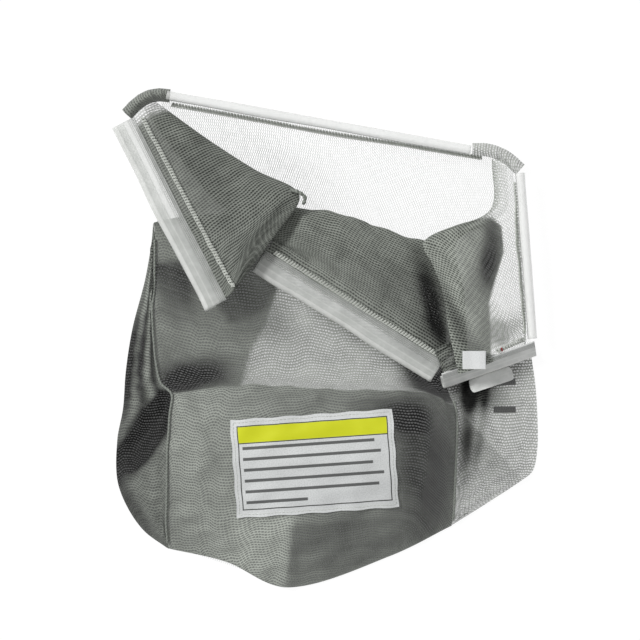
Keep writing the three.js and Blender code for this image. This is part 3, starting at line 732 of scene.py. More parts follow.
def knit_material(name, deep, pale, hole, roughness, blocks=(), wale_pitch=3.3):
    """Knitted mesh. Its see_through mask opens the yarn, and its shading mask paints shade and light into
    the yarn's colour.

    hole is the width and the height of a slot, as shares of the knit's pitch."""
    material, tree, shader = new_material(name)
    knit = use_group(tree, KNIT, wale_pitch=wale_pitch, hole_width=hole[0], hole_height=hole[1])
    # Painted shade and light: the shading mask and the raised yarn of the knit mix the colour from its
    # shaded end to its lit end.
    tone = calc(tree, "MULTIPLY_ADD", mask(tree, "tone"), 0.5, 0.5)
    spread = calc(tree, "MULTIPLY_ADD", knit["Unevenness"], 0.3, -0.15)
    lit = calc(tree, "MULTIPLY_ADD", knit["Height"], 0.2, calc(tree, "ADD", tone, spread))
    yarn_colour = blend_colour(tree, clamp(tree, lit), deep, pale)
    # The slots are painted dark: painted shade inside the knit.
    shaded_slot_colour = blend_colour(tree, 1.0, yarn_colour, (0.26, 0.27, 0.26, 1.0), "MULTIPLY")
    colour = blend_colour(tree, knit["Yarn"], shaded_slot_colour, yarn_colour)
    open_yarn = calc(tree, "MULTIPLY", calc(tree, "POWER", mask(tree, "see_through"), 2.0), 0.7)
    open_slot = clamp(tree, calc(tree, "MULTIPLY", mask(tree, "see_through"), 1.6))
    opening = add_node(tree, "ShaderNodeMix", {0: knit["Yarn"], 2: open_slot, 3: open_yarn}).outputs[0]
    covered = calc(tree, "SUBTRACT", 1.0, opening)
    for left, right, bottom, top in blocks:
        ink = use_group(
            tree, PRINTED_BLOCK, left=left, right=right, bottom=bottom, top=top, softness=0.8
        )["Ink"]
        colour = blend_colour(tree, calc(tree, "MULTIPLY", ink, 0.94), colour, srgb(20, 21, 20))
        covered = calc(tree, "MAXIMUM", covered, calc(tree, "MULTIPLY", ink, 0.92))
    tree.links.new(colour, shader["Base Color"])
    tree.links.new(covered, shader["Alpha"])
    rough = calc(tree, "MULTIPLY_ADD", knit["Unevenness"], 0.2, roughness)
    tree.links.new(rough, shader["Roughness"])
    bump = add_node(tree, "ShaderNodeBump", {"Height": knit["Height"], "Strength": 0.7, "Distance": 0.0006})
    tree.links.new(bump.outputs[0], shader["Normal"])
    set_values(shader, sheen_weight=0.04, sheen_roughness=0.4, specular_ior_level=0.22)
    return material


def vinyl_material(name, clear, cloudy, alpha, roughness):
    """Translucent moulded vinyl: fine drawn streaks along it, a few scuffs and some cloudiness."""
    material, tree, shader = new_material(name)
    uv = add_node(tree, "ShaderNodeUVMap", uv_map="weave").outputs["UV"]
    drawn = add_node(tree, "ShaderNodeMapping", {"Vector": uv, "Scale": (2.2, 0.02, 1.0)}).outputs[0]
    streaks = noise(tree, drawn, 1.0, 3.0)
    clouds = noise(tree, uv, 0.06, 3.0)
    scuffs = noise(tree, uv, 0.9, 5.0)
    level = calc(tree, "MULTIPLY_ADD", streaks, 0.5, calc(tree, "MULTIPLY", clouds, 0.5))
    groove, rim = mask(tree, "groove"), mask(tree, "rim")
    colour = blend_colour(tree, ease(tree, level, 0.35, 0.65), clear, cloudy)
    # Painted shade in the grooves between the ribs, and a painted highlight on the rolled rim and along the
    # middle of the band.
    colour = blend_colour(tree, calc(tree, "MULTIPLY", groove, 0.55), colour, srgb(96, 99, 97))
    colour = blend_colour(tree, calc(tree, "MULTIPLY", rim, 0.6), colour, srgb(250, 251, 248))
    tree.links.new(colour, shader["Base Color"])
    thick = ease(tree, clouds, 0.3, 0.7, alpha - 0.06, alpha + 0.06)
    edge = calc(tree, "MAXIMUM", groove, rim)
    tree.links.new(calc(tree, "MULTIPLY_ADD", edge, 0.25, thick), shader["Alpha"])
    tree.links.new(ease(tree, scuffs, 0.45, 0.7, roughness, roughness + 0.25), shader["Roughness"])
    bump = add_node(tree, "ShaderNodeBump", {"Height": level, "Strength": 0.3, "Distance": 0.0004})
    tree.links.new(bump.outputs[0], shader["Normal"])
    set_values(shader, ior=1.49)
    return material


def thread_material(name, light, dark, twist):
    """Spun thread: plies that wind round it, with a little fuzz in its colour."""
    material, tree, shader = new_material(name)
    uv = add_node(tree, "ShaderNodeUVMap", uv_map="weave").outputs["UV"]
    axes = add_node(tree, "ShaderNodeSeparateXYZ", {"Vector": uv}).outputs
    winding = calc(tree, "MULTIPLY_ADD", axes["Y"], twist, calc(tree, "MULTIPLY", axes["X"], 2.0))
    plies = calc(tree, "MULTIPLY_ADD", calc(tree, "SINE", winding), 0.5, 0.5)
    fuzz = noise(tree, uv, 0.8, 4.0)
    level = calc(tree, "MULTIPLY_ADD", plies, 0.5, calc(tree, "MULTIPLY", fuzz, 0.5))
    # The colour is darker where the plies dip: painted shade between the plies.
    tree.links.new(blend_colour(tree, level, dark, light), shader["Base Color"])
    tree.links.new(ease(tree, fuzz, 0.3, 0.7, 0.65, 0.9), shader["Roughness"])
    bump = add_node(tree, "ShaderNodeBump", {"Height": plies, "Strength": 0.6, "Distance": 0.0002})
    tree.links.new(bump.outputs[0], shader["Normal"])
    set_values(shader, sheen_weight=0.2)
    return material


def tape_surface(tree, uv, shader, strength):
    """Fine weave under a coating, as bump and roughness."""
    weft = add_node(tree, "ShaderNodeTexWave", {"Vector": uv, "Scale": 0.55, "Distortion": 1.0}).outputs[1]
    grain = noise(tree, uv, 0.7, 5.0)
    height = calc(tree, "MULTIPLY_ADD", weft, 0.3, calc(tree, "MULTIPLY", grain, 0.7))
    bump = add_node(tree, "ShaderNodeBump", {"Height": height, "Strength": strength, "Distance": 0.0003})
    tree.links.new(bump.outputs[0], shader["Normal"])
    tree.links.new(ease(tree, grain, 0.3, 0.7, 0.45, 0.65), shader["Roughness"])
    return grain


# The label's print, in millimetres from its lower left corner: plain bars under a coloured band.
LABEL_FRAME = (6.5, LABEL_WIDTH - 6.0, 7.5, LABEL_HEIGHT - 7.0)
LABEL_BAND_HEIGHT = 18
LABEL_BARS = [
    (11, 150, 71.5), (11, 156, 60), (11, 147, 48.5), (11, 158, 37), (11, 152, 25.5), (11, 76, 14),
]
LABEL_BAR_HEIGHT = 3.2
LABEL_LINE = 1.1


def label_material():
    material, tree, shader = new_material("label_tape")
    uv = add_node(tree, "ShaderNodeUVMap", uv_map="plan").outputs["UV"]
    grain = tape_surface(tree, uv, shader, 0.35)
    left, right, bottom, top = LABEL_FRAME

    def block(a, b, c, d):
        return use_group(tree, PRINTED_BLOCK, left=a, right=b, bottom=c, top=d, softness=0.5)["Ink"]

    soil = ease(tree, grain, 0.3, 0.75)
    colour = blend_colour(tree, soil, srgb(236, 238, 238), srgb(214, 217, 216))
    ink, band_ink = srgb(40, 41, 40), srgb(222, 228, 22)
    outer = block(left, right, bottom, top)
    inner = block(left + LABEL_LINE, right - LABEL_LINE, bottom + LABEL_LINE, top - LABEL_LINE)
    band = block(left + LABEL_LINE, right - LABEL_LINE, top - LABEL_BAND_HEIGHT, top - LABEL_LINE)
    rule = block(left, right, top - LABEL_BAND_HEIGHT - LABEL_LINE, top - LABEL_BAND_HEIGHT)
    frame_line = calc(tree, "MULTIPLY", outer, calc(tree, "SUBTRACT", 1.0, inner))
    colour = blend_colour(tree, calc(tree, "MAXIMUM", frame_line, rule), colour, ink)
    colour = blend_colour(tree, band, colour, band_ink)
    for start, end, height in LABEL_BARS:
        bar = block(start, end, height, height + LABEL_BAR_HEIGHT)
        colour = blend_colour(tree, calc(tree, "MULTIPLY", bar, 0.85), colour, ink)
    tree.links.new(colour, shader["Base Color"])
    return material


def tag_material():
    material, tree, shader = new_material("tag_tape")
    uv = add_node(tree, "ShaderNodeUVMap", uv_map="weave").outputs["UV"]
    grain = tape_surface(tree, uv, shader, 0.5)
    colour = blend_colour(tree, ease(tree, grain, 0.3, 0.75), srgb(252, 253, 253), srgb(236, 239, 239))
    tree.links.new(colour, shader["Base Color"])
    return material


def floor_material():
    """White to the camera, with the bag's shadow kept in a part of it."""
    material = bpy.data.materials.new("pale_floor")
    material.use_nodes = True
    tree = material.node_tree
    tree.nodes.clear()
    path = add_node(tree, "ShaderNodeLightPath").outputs
    seen = calc(
        tree,
        "MAXIMUM",
        path["Is Camera Ray"],
        calc(tree, "MAXIMUM", path["Is Glossy Ray"], path["Is Transmission Ray"]),
    )
    glow = add_node(
        tree,
        "ShaderNodeEmission",
        {"Color": (1, 1, 1, 1), "Strength": calc(tree, "MULTIPLY", seen, 0.94)},
    )
    shade = blend_colour(tree, seen, (0.8, 0.8, 0.8, 1), (0.1, 0.1, 0.1, 1))
    matt = add_node(tree, "ShaderNodeBsdfDiffuse", {"Color": shade})
    both = add_node(tree, "ShaderNodeAddShader", {0: glow.outputs[0], 1: matt.outputs[0]})
    add_node(tree, "ShaderNodeOutputMaterial", {"Surface": both.outputs[0]})
    return material


# Plain bars where the right side panel carries print.
SIDE_BLOCKS = [(179, 203, -50, -43), (179, 203, -79, -72)]

# The knit's colour in its deepest painted shade and in full painted light.
SHADED_YARN, LIT_YARN = srgb(12, 13, 11), srgb(188, 193, 184)
cloth_grey = knit_material("knit_grey", SHADED_YARN, LIT_YARN, (0.42, 0.27), 0.5)
# The back panel's yarn is painted paler than the rest of the knit: painted light where light comes up
# through its single layer.
cloth_back_painted_light = knit_material(
    "knit_back_painted_light", srgb(84, 96, 88), srgb(196, 206, 198), (0.36, 0.75), 0.55, wale_pitch=2.3
)
cloth_side = knit_material("knit_side", SHADED_YARN, LIT_YARN, (0.42, 0.3), 0.5, SIDE_BLOCKS)
vinyl = vinyl_material("binding_vinyl", srgb(226, 229, 225), srgb(244, 246, 243), 0.4, 0.3)
clear_vinyl = vinyl_material("clear_binding_vinyl", srgb(236, 239, 236), srgb(250, 251, 249), 0.24, 0.3)
milky = vinyl_material("stiffener_plastic", srgb(240, 243, 240), srgb(252, 253, 251), 0.92, 0.38)
# The lower right binding takes the whiter, more opaque stiffener plastic, so that it reads brighter than the
# other vinyl where it turns from the lamp: painted light.
BINDING_MATERIALS = {"top_binding": clear_vinyl, "right_binding": clear_vinyl, "lower_right_binding": milky}
overlock = thread_material("overlock_thread", srgb(240, 243, 236), srgb(196, 200, 193), 7.0)
piping = thread_material("seam_piping", srgb(168, 173, 165), srgb(84, 88, 82), 1.6)
red_thread = thread_material("tack_thread", srgb(188, 44, 50), srgb(120, 22, 28), 7.0)
label_tape = label_material()
tag_tape = tag_material()

# Cloth panels


def right_of(cloth, curve, softness=1.5):
    """A mask of what lies right of a line through plan points, which are given from low y to high y."""
    curve = np.array(curve, float)
    border = np.interp(cloth.grid[..., 1], curve[:, 1], curve[:, 0])
    return smooth_step(cloth.grid[..., 0] - border, -softness, softness)


def soft_band(share, first, last, softness):
    """1 between two shares and 0 beyond them."""
    rise = smooth_step(share, first - softness, first + softness)
    return rise * (1 - smooth_step(share, last - softness, last + softness))


def u_band(cloth, first, last, softness=0.02):
    """A mask of the part of a grid between two shares of its rows."""
    u = shares(cloth.grid.shape[1] - 1)[None, :]
    return soft_band(u, first, last, softness) * np.ones(cloth.grid.shape[:2])


def v_band(cloth, first, last, softness=0.01):
    """A mask of the part of a grid between two shares of its columns."""
    v = shares(cloth.grid.shape[0] - 1)[:, None]
    return soft_band(v, first, last, softness) * np.ones(cloth.grid.shape[:2])


# The mouth gussets are folded double at this share of each row.
FOLD_U = 0.6


def folded_flap(rows, columns, face, seed, length, depth):
    """A mouth gusset, with small creases except at its fold."""
    cloth = Cloth(loft(rows, shares(columns), shares(84)), face)
    away_from_fold = smooth_step(np.abs(shares(columns)[None, :] - FOLD_U), 0.02, 0.2)
    return cloth.ripple(seed, length, depth, reach=10, mask=away_from_fold)


back = Cloth(back_grid(140, 160))
back.ripple(3, 60, 0.5, low=FLOOR_CLOTH)

main = Cloth(crease(loft(MAIN_ROWS, shares(104), shares(240)), MAIN_CREASES), face=-1)
main.ripple(5, 46, 1.1)

left_side = Cloth(side_grid(LEFT_OUTLINE, 0.0, LEFT_SEAM_ROW, LEFT_CREASES, 60, 130), face=-1)
pleats = np.sin(2 * math.pi * (2.6 * shares(60)[None, :] + 0.5 * shares(130)[:, None]))
pleats = pleats * v_band(left_side, 0.05, 0.52, 0.08) * u_band(left_side, 0.1, 0.9, 0.1)
left_side.grid[..., 2] += 1.6 * pleats
left_side.measure()
left_side.ripple(8, 34, 1.2, reach=7)

right_side_grid = side_grid(RIGHT_OUTLINE, 1.0, RIGHT_SEAM_ROW, RIGHT_CREASES, 40, 110)
right_side = Cloth(right_side_grid[:, ::-1], face=-1)
right_side.ripple(9, 26, 1.0, reach=7)

left_gusset = folded_flap(LEFT_GUSSET_ROWS, 90, -1, 12, 34, 0.8)
right_gusset = folded_flap(RIGHT_GUSSET_ROWS, 96, 1, 15, 36, 0.9)

# Painted shade and light on the cloth: darker where folds, hollows and the layers under it would shade it,
# lighter where the lamp would fall on it; and the parts that light comes through. Spots are in the order
# that soft_spots() gives.

COLLAR_LAST, FRONT_FIRST, RIDGE = main_v(4.4), main_v(5.6), main_v(9.9)
# Painted shade where the gussets, the flap and the folds would shade the collar, the front and the end
# panel, and painted light along the ridge and on the end panel's side toward the lamp.
COLLAR_SHADING = [
    (-20, 110, 60, 30, -25, -0.1),
    (114, 40, 52, 12, -74, -1.1),
    (80, 50, 46, 30, -40, -0.35),
    (116, 2, 30, 14, -60, -0.6),
    (-40, 82, 22, 10, -60, -0.4),
]
FRONT_SHADING = [
    (-158, 72, 60, 24, -86, -1.0),
    (-110, 40, 46, 30, -60, -0.4),
    (-70, 30, 46, 24, -40, -0.5),
    (-134, -38, 46, 18, 4, -1.3),
    (-158, -54, 24, 14, 20, -0.8),
    (28, 10, 62, 12, -31, -0.35),
    (-182, 84, 30, 14, -86, -0.4),
    (0, -36, 90, 15, 0, 0.15),
    (112, -26, 30, 50, 30, -1.9),
]
END_SHADING = [
    (-130, -130, 46, 90, 10, 0.2),
    (-80, -200, 46, 40, 20, 0.3),
    (10, -68, 110, 11, -4, -0.2),
    (0, -205, 60, 16, 20, -0.6),
    (40, -225, 70, 26, 20, -0.5),
    (104, -130, 34, 90, 5, -1.1),
    (66, -80, 40, 20, -10, -0.7),
]
main_shading = (
    main.soft_spots(COLLAR_SHADING, last=COLLAR_LAST)
    + main.soft_spots(FRONT_SHADING, FRONT_FIRST, RIDGE)
    + main.soft_spots(END_SHADING, RIDGE)
)

# The end panel's middle fold: painted light on its side left of this line.
END_FOLD = [(-41, -262), (-29, -183), (-27, -170)]
END_FOLD_LIGHT = [(-62, -225, 56, 40, 18, 0.6)]
main_shading += (1 - right_of(main, END_FOLD, 2)) * main.soft_spots(END_FOLD_LIGHT, RIDGE)

# The sunken front is one layer right of this line.
OPEN_FRONT = [(-88, -52), (-79, -17), (-64, 12), (-52, 46), (-46, 64)]
main_open = 0.33 * right_of(main, OPEN_FRONT, 3) * v_band(main, FRONT_FIRST, RIDGE, 0.004)
# Where shade is painted on the front, its slots close as well, so less of the floor shows through.
main_open = np.clip(main_open + 0.35 * np.minimum(main_shading, 0), 0, 1)

# Painted shade in the left side's hollow and over the whole side, painted shade and light in stripes along
# its pleats, and a little painted light near its foot.
LEFT_SIDE_SHADING = [
    (-184, -97, 46, 16, 56, -2.4),
    (-168, -74, 18, 11, 40, -2.2),
    (-204, -124, 22, 16, 40, -1.2),
    (-192, -30, 60, 26, 80, -0.3),
    (-207, -34, 66, 12, 80, -0.8),
    (-210, -168, 60, 10, -58, -0.7),
    (-190, -170, 30, 40, -40, 0.05),
]
left_side_shading = left_side.soft_spots(LEFT_SIDE_SHADING) - 0.3 - 0.45 * pleats

# Painted shade on the left flap and painted light beside its fold.
LEFT_FLAP_SHADING = [
    (-135, 185, 60, 20, -60, -0.3),
    (-100, 110, 40, 12, -50, -0.1),
    (-152, 215, 30, 8, -50, 0.25),
    (-60, 120, 50, 8, 50, -0.25),
]

# The right flap is one layer right of this line and at its top, but for its fold and its lower folds.
ONE_LAYER = [(176, -4), (174, 38), (190, 91), (188, 118), (176, 130), (174, 190)]
LOWER_FOLDS = [(188, 6, 36, 15, 28, 0.6), (176, 22, 10, 40, 24, 0.4)]
one_layer = right_of(right_gusset, ONE_LAYER) * u_band(right_gusset, 0, FOLD_U)
one_layer = np.maximum(one_layer, v_band(right_gusset, -1, 0.24, 0.03))
one_layer = one_layer * (1 - 0.8 * u_band(right_gusset, FOLD_U - 0.03, FOLD_U + 0.03, 0.01))
one_layer = one_layer * (1 - 0.4 * u_band(right_gusset, FOLD_U - 0.14, FOLD_U + 0.14, 0.05))
one_layer = one_layer * (1 - np.clip(right_gusset.soft_spots(LOWER_FOLDS), 0, 0.75))
# Painted shade and light on the right flap's folds, where it is not a single layer.
RIGHT_FLAP_SHADING = [
    (176, 92, 12, 40, -4, -1.3),
    (164, 60, 14, 30, -20, -0.5),
    (131, 34, 62, 8, -66, -0.7),
    (140, 44, 70, 7, -57, 0.45),
    (150, 96, 30, 12, 20, 0.2),
    (147, 70, 46, 15, -66, 0.45),
    (160, 0, 30, 14, -50, -0.2),
]
RIGHT_FLAP_TOP_SHADE = [(196, 150, 14, 16, 0, -0.3)]
right_flap_shading = right_gusset.soft_spots(RIGHT_FLAP_SHADING)
right_flap_shading += right_gusset.soft_spots(RIGHT_FLAP_TOP_SHADE, last=0.3)

# The right side's fold: painted shade on its side left of this line.
SIDE_FOLD = [(209, -148), (174, -110), (139, -73)]
SIDE_FOLD_SHADE = [(176, -122, 50, 20, -47, 0.3)]
# Painted shade on the right side panel along its folds and below the flap and its binding.
RIGHT_SIDE_SHADING = [
    (150, -56, 30, 22, 0, -0.9),
    (150, -105, 9, 56, -4, -1.0),
    (166, -96, 5, 44, -8, -0.5),
    (178, -34, 40, 20, 10, -0.9),
    (176, -66, 26, 14, 0, -0.5),
    (165, -130, 20, 40, -10, -0.2),
]
right_side_shading = right_side.soft_spots(RIGHT_SIDE_SHADING)
right_side_shading -= (1 - right_of(right_side, SIDE_FOLD)) * right_side.soft_spots(SIDE_FOLD_SHADE)

# Painted shade on the back panel beside the left flap and painted light toward its right; the back is also
# painted a little paler overall, and where shade is painted its slots close.
BACK_SHADING = [
    (-90, 200, 120, 34, -30, -0.9),
    (-20, 160, 70, 30, -30, -0.4),
    (150, 170, 60, 60, 0, 0.4),
    (60, 130, 90, 50, 0, 0.2),
]
back_shading = back.soft_spots(BACK_SHADING)
back_open = 0.97 + 0.16 * np.minimum(back_shading, 0)

# How far the cloth runs on under a channel's flange, and how far it steps down there.
UNDER_FLANGE = (6.5, 2.4)

back_piece = cloth_piece("back_cloth", back, cloth_back_painted_light, back_open, 0.15 + back_shading)
main_piece = cloth_piece(
    "main_cloth", main, cloth_grey, 0.08 + main_open, main_shading, [("start", *UNDER_FLANGE)]
)
left_side_piece = cloth_piece("left_side_cloth", left_side, cloth_grey, 0.05, left_side_shading)
# The right side is painted a little paler overall, and where shade is painted its slots close as well.
right_side_piece = cloth_piece(
    "right_side_cloth", right_side, cloth_side, 0.45 + 0.34 * right_side_shading, 0.2 + right_side_shading
)
# The left flap is painted a little darker overall: painted shade.
left_gusset_piece = cloth_piece(
    "left_gusset_cloth",
    left_gusset,
    cloth_grey,
    0.05 + 0.8 * v_band(left_gusset, -1, 0.03, 0.02),
    left_gusset.soft_spots(LEFT_FLAP_SHADING) - 0.2,
    [("left", *UNDER_FLANGE), ("start", 9, 4)],
)
# Painted light on the right flap: paler overall, and paler still where light comes up through its single
# layer.
right_gusset_piece = cloth_piece(
    "right_gusset_cloth",
    right_gusset,
    cloth_side,
    0.08 + 0.9 * one_layer,
    0.25 + 0.5 * one_layer + right_flap_shading * (1 - one_layer),
    [("left", 3, 0.5), ("end", *UNDER_FLANGE), ("start", 4, 2)],
)

settle(back_piece, "cloth_pale", "back_panel")
settle(main_piece, "cloth", "main_panel")
settle(left_side_piece, "cloth", "left_side_panel")
settle(right_side_piece, "cloth_pale", "right_side_panel")
settle(left_gusset_piece, "cloth", "left_mouth_gusset")
settle(right_gusset_piece, "cloth_pale", "right_mouth_gusset")

# Corner wraps and the gathered corner


def gathered_arch(path, width, foot, pleats, depth, seed):
    """An arch of cloth drawn up into uneven pleats across its path."""
    columns, rows = 36, 80
    cloth = Cloth(arch_grid(path, width, foot, columns, rows))
    chance = np.random.default_rng(seed)
    v = shares(rows)[:, None]
    u = shares(columns)[None, :]
    slant = 0.5 * (u - 0.5)
    lift = np.zeros((rows + 1, columns + 1))
    for n in range(1, 4):
        swing = np.sin(2 * math.pi * pleats * n * (v + slant / pleats) + chance.uniform(0, 6))
        lift += swing / n * chance.uniform(0.6, 1)
    lift = depth * lift * np.sin(math.pi * u)
    cloth.grid = cloth.grid + cloth.normals * lift[..., None]
    cloth.grid[..., 2] = np.maximum(cloth.grid[..., 2], foot)
    cloth.measure()
    return cloth


top_left = gathered_arch(TOP_LEFT_PATH, CORNER_WIDTH, SECOND_CLOTH, 5, 0.7, 21)
top_right = gathered_arch(TOP_RIGHT_PATH, CORNER_WIDTH, SECOND_CLOTH, 5, 0.7, 22)
gather = gathered_arch(GATHER_PATH, GATHER_WIDTH, GATHER_FOOT, 3, 1.0, 23)
# Painted shade on the gathered corner and a little on the top left wrap, and painted light on the top right
# wrap.
top_left_piece = cloth_piece("top_left_wrap", top_left, cloth_grey, 0.05, -0.1)
top_right_piece = cloth_piece("top_right_wrap", top_right, cloth_grey, 0.45, 0.3)
gather_piece = cloth_piece("gathered_corner", gather, cloth_grey, 0.1, -0.5)
settle(top_left_piece, "cloth", "top_left_corner")
settle(top_right_piece, "cloth", "top_right_corner")
settle(gather_piece, "cloth", "mouth_corner_gather")

# Binding channels


def arc(centre, radius, start, end, steps):
    angle = np.radians(np.linspace(start, end, steps + 1))
    return np.column_stack([centre[0] + radius * np.cos(angle), centre[1] + radius * np.sin(angle)])


def binding_section():
    """The channel's section from the sewn edge at x = 0 to the roll, with its smooth face at y = 0.

    Also, from 0 to 1, how deep in a groove each place of it is, for painted shade in the grooves, and how
    much painted highlight it takes on the rim and along the middle of the band."""
    width = FLANGE_WIDTH + HOOK_WIDTH
    outer = HOOK_DEPTH / 2
    inner = outer - HOOK_WALL
    lip = FLANGE_WIDTH + HOOK_SLOT
    centre = (width - outer, -outer)
    ribs = np.linspace(FLANGE_WIDTH, 0.25, RIB_COUNT * 8 + 1)
    wave = np.cos(2 * math.pi * ribs / FLANGE_WIDTH * RIB_COUNT)
    crests = np.column_stack([ribs, -RIB_HEIGHT * 0.5 * (1 + wave)])
    band = np.linspace(centre[0] - 1, FLANGE_WIDTH + 1, 12)
    share = (band - FLANGE_WIDTH) / (centre[0] - FLANGE_WIDTH)
    rolled = np.column_stack([band, -0.35 * np.sin(math.pi * share)])
    under = np.concatenate([
        [(0.0, -FLANGE_THICKNESS), (FLANGE_WIDTH, -FLANGE_THICKNESS)],
        [(FLANGE_WIDTH + 3, -HOOK_WALL - 0.2), (centre[0] - 3, -HOOK_WALL - 0.2)],
        arc(centre, inner, 90, -90, 12),
        [(lip + 0.6, HOOK_WALL - HOOK_DEPTH)],
        arc((lip + 0.6, HOOK_WALL / 2 - HOOK_DEPTH), HOOK_WALL / 2, 90, 270, 6)[1:-1],
    ])
    rim = arc(centre, outer, -90, 90, 16)
    section = np.concatenate([under, rim, rolled, crests])
    grooves = np.concatenate([np.zeros(len(under) + len(rim) + len(band)), 0.5 + 0.5 * wave])
    # A painted highlight along the middle of the rolled band.
    band_highlight = np.exp(-(((share - 0.55) / 0.05) ** 2))
    pale = np.concatenate([np.zeros(len(under)), np.linspace(0.9, 1, 17), 0.5 * band_highlight, 0 * ribs])
    return section, grooves, pale


def binding_piece(name, start, end, roll, seed):
    """A channel on a line from its start to its end, rolled on its seam by that many degrees."""
    start, end = np.array(start, float), np.array(end, float)
    along = unit(end - start)
    side = unit(np.cross(along, (0, 0, 1)))
    up = np.cross(side, along)
    tilt = math.radians(roll)
    across = side * math.cos(tilt) + up * math.sin(tilt)
    face = up * math.cos(tilt) - side * math.sin(tilt)
    length = np.linalg.norm(end - start)
    section, grooves, pale = binding_section()
    steps = max(int(length / 3), 30)
    far = np.linspace(0, length, steps + 1)
    chance = np.random.default_rng(seed)
    wobble = sum(
        np.sin(2 * math.pi * far / chance.uniform(60, 190) + chance.uniform(0, 6)) for _ in range(4)
    )
    fade = np.sin(math.pi * far / length) ** 0.5
    line = start + np.outer(far, along) + across * GAP
    line = line + np.outer(0.16 * wobble * fade, face) + np.outer(0.14 * wobble[::-1] * fade, across)
    flare = 1 + 0.012 * wobble[:, None]
    x = section[None, :, 0] * flare
    y = section[None, :, 1] * (1 + 0.02 * wobble[:, None])
    grid = line[:, None] + across * x[..., None] + face * y[..., None]
    around = path_length(np.column_stack([section, 0 * section[:, 0]]))
    weave = np.stack(np.meshgrid(around, far), axis=-1)
    count = len(section)
    last = np.arange(count) + steps * count
    piece = make_piece(
        name + "_channel",
        grid,
        grid_faces(steps + 1, count, around=True),
        BINDING_MATERIALS.get(name, vinyl),
        weave=weave,
        caps=[np.arange(count)[::-1], last],
        groove=np.tile(grooves, steps + 1),
        rim=np.tile(pale, steps + 1),
    )
    return settle(piece, "binding", name)


for number, (name, start, end, roll) in enumerate(BINDINGS):
    binding_piece(name, start, end, roll, 40 + number)

# Overlock stitching


def overlock_rows(bundle, places, ups, width, height, seed):
    """Loops of thread wound over a line, and the needle thread that runs beside them."""
    both = evenly(np.column_stack([places, ups]), SERGE_PITCH / 12)
    line, up = both[:, :3], unit(both[:, 3:])
    ahead = unit(np.gradient(line, axis=0))
    across = unit(np.cross(ahead, up))
    far = path_length(line)
    chance = np.random.default_rng(seed)
    drift = sum(np.sin(far / chance.uniform(4, 17) + chance.uniform(0, 6)) for _ in range(5)) / 5
    turn = 2 * math.pi * far / SERGE_PITCH + 0.9 * drift
    reach = width / 2 * (1 + 0.16 * drift)
    loops = line + across * (reach * np.cos(turn))[:, None] + up * (height / 2 * np.sin(turn))[:, None]
    bundle.add(loops, 0.55, 5, ahead)
    needle = line + across * (width * 0.42) + up * (height / 2 + 0.25 * np.cos(turn * 0.5))[:, None]
    bundle.add(needle[::3], 0.34, 5, up[::3])
    crossing = loops + ahead * 0.9 + up * 0.12
    bundle.add(crossing, 0.4, 4, ahead)


def thread_knot(bundle, centre, size, seed):
    """A small tangle of thread ends."""
    chance = np.random.default_rng(seed)
    turn = np.linspace(0, 2 * math.pi, 150)
    waves = [np.sin(turn * n + chance.uniform(0, 6)) for n in (3, 5, 7)]
    path = np.asarray(centre, float) + np.column_stack(waves) * size
    bundle.add(path, 0.5, 5, np.array((0.3, 0.5, 0.8)))


# Overlocked lines: node, cloth, edge, first and last share of the edge, and distance inside it.
left_distance = SERGE_SETBACK + LEFT_STITCH_EXTRA + LEFT_STITCH_SPREAD * shares(84)
top_distance = np.linspace(6.8, 8.8, 141)
STITCHING = [
    ("left_stitching", left_gusset, "left", 0.03, 0.97, left_distance),
    ("right_stitching", right_gusset, "left", 0.05, 0.92, SERGE_SETBACK),
    ("front_stitching", main, "start", 0.04, 0.96, SERGE_SETBACK),
    ("lower_right_stitching", right_gusset, "end", 0.05, 0.36, SERGE_SETBACK),
    ("top_stitching", back, "end", 0.03, 0.94, top_distance),
]
# The collar lies with its other side up, so its stitching is on the side away from its upper normals.
FLIPPED = {"front_stitching"}

for number, (name, cloth, edge, first, last, distance) in enumerate(STITCHING):
    places, ups = cloth.edge_line(edge, distance, first, last)
    if name in FLIPPED:
        ups = -ups
    bundle = Bundle()
    middle = places + ups * (CLOTH / 2 + GAP + SERGE_HEIGHT / 2)
    overlock_rows(bundle, middle, ups, SERGE_WIDTH, SERGE_HEIGHT, 60 + number)
    if name in ("left_stitching", "right_stitching"):
        thread_knot(bundle, middle[-1], (1.6, 1.6, 1.0), 80 + number)
    settle(bundle.piece(name + "_thread", overlock), "stitching", name)

# Rolled end at the left flap's point

nub = Bundle()
NUB_PATH = [(-36, 156, 34), (-27, 154, 35), (-20, 148, 33), (-22, 141, 30)]
nub_path = evenly(through(NUB_PATH, shares(30)), 0.6)
nub.add(nub_path, 1.9 + 0.35 * np.sin(path_length(nub_path) / 0.9), 10, np.array((0.1, 0.2, 1.0)))
settle(nub.piece("flap_point", piping), "seam_cord")

# Corded seams


def seam_cord(name, main_u, side_cloth, side_u, first_row, first, last):
    """The covered cord along a seam of the main cloth and a side panel, from share first to last."""
    count, lift = 400, CLOTH / 2 + CORD_RADIUS * 0.7
    share = np.linspace(first, last, count)
    main_share = main_v(first_row) + share * (1 - main_v(first_row))
    over_main = main.place(np.full(count, main_u), main_share, lift)
    over_side = side_cloth.place(np.full(count, side_u), share, lift)
    line = evenly((over_main + over_side) / 2, 1.0)
    bundle = Bundle()
    swell = 1 + 0.08 * np.sin(path_length(line) / 1.3)
    bundle.add(line, CORD_RADIUS * 0.85 * swell, 10, np.array((0.9, 0.1, 0.4)))
    return settle(bundle.piece(name + "_piping", piping), "seam_cord", name)


seam_cord("left_seam_cord", 0.0, left_side, 1.0, LEFT_SEAM_ROW, 0.02, 0.97)
seam_cord("right_seam_cord", 1.0, right_side, 0.0, RIGHT_SEAM_ROW, 0.3, 0.93)

# Label


def turned_plan(centre, turn, along, up):
    x = centre[0] + along * math.cos(turn) - up * math.sin(turn)
    y = centre[1] + along * math.sin(turn) + up * math.cos(turn)
    return np.stack([x, y], axis=-1)


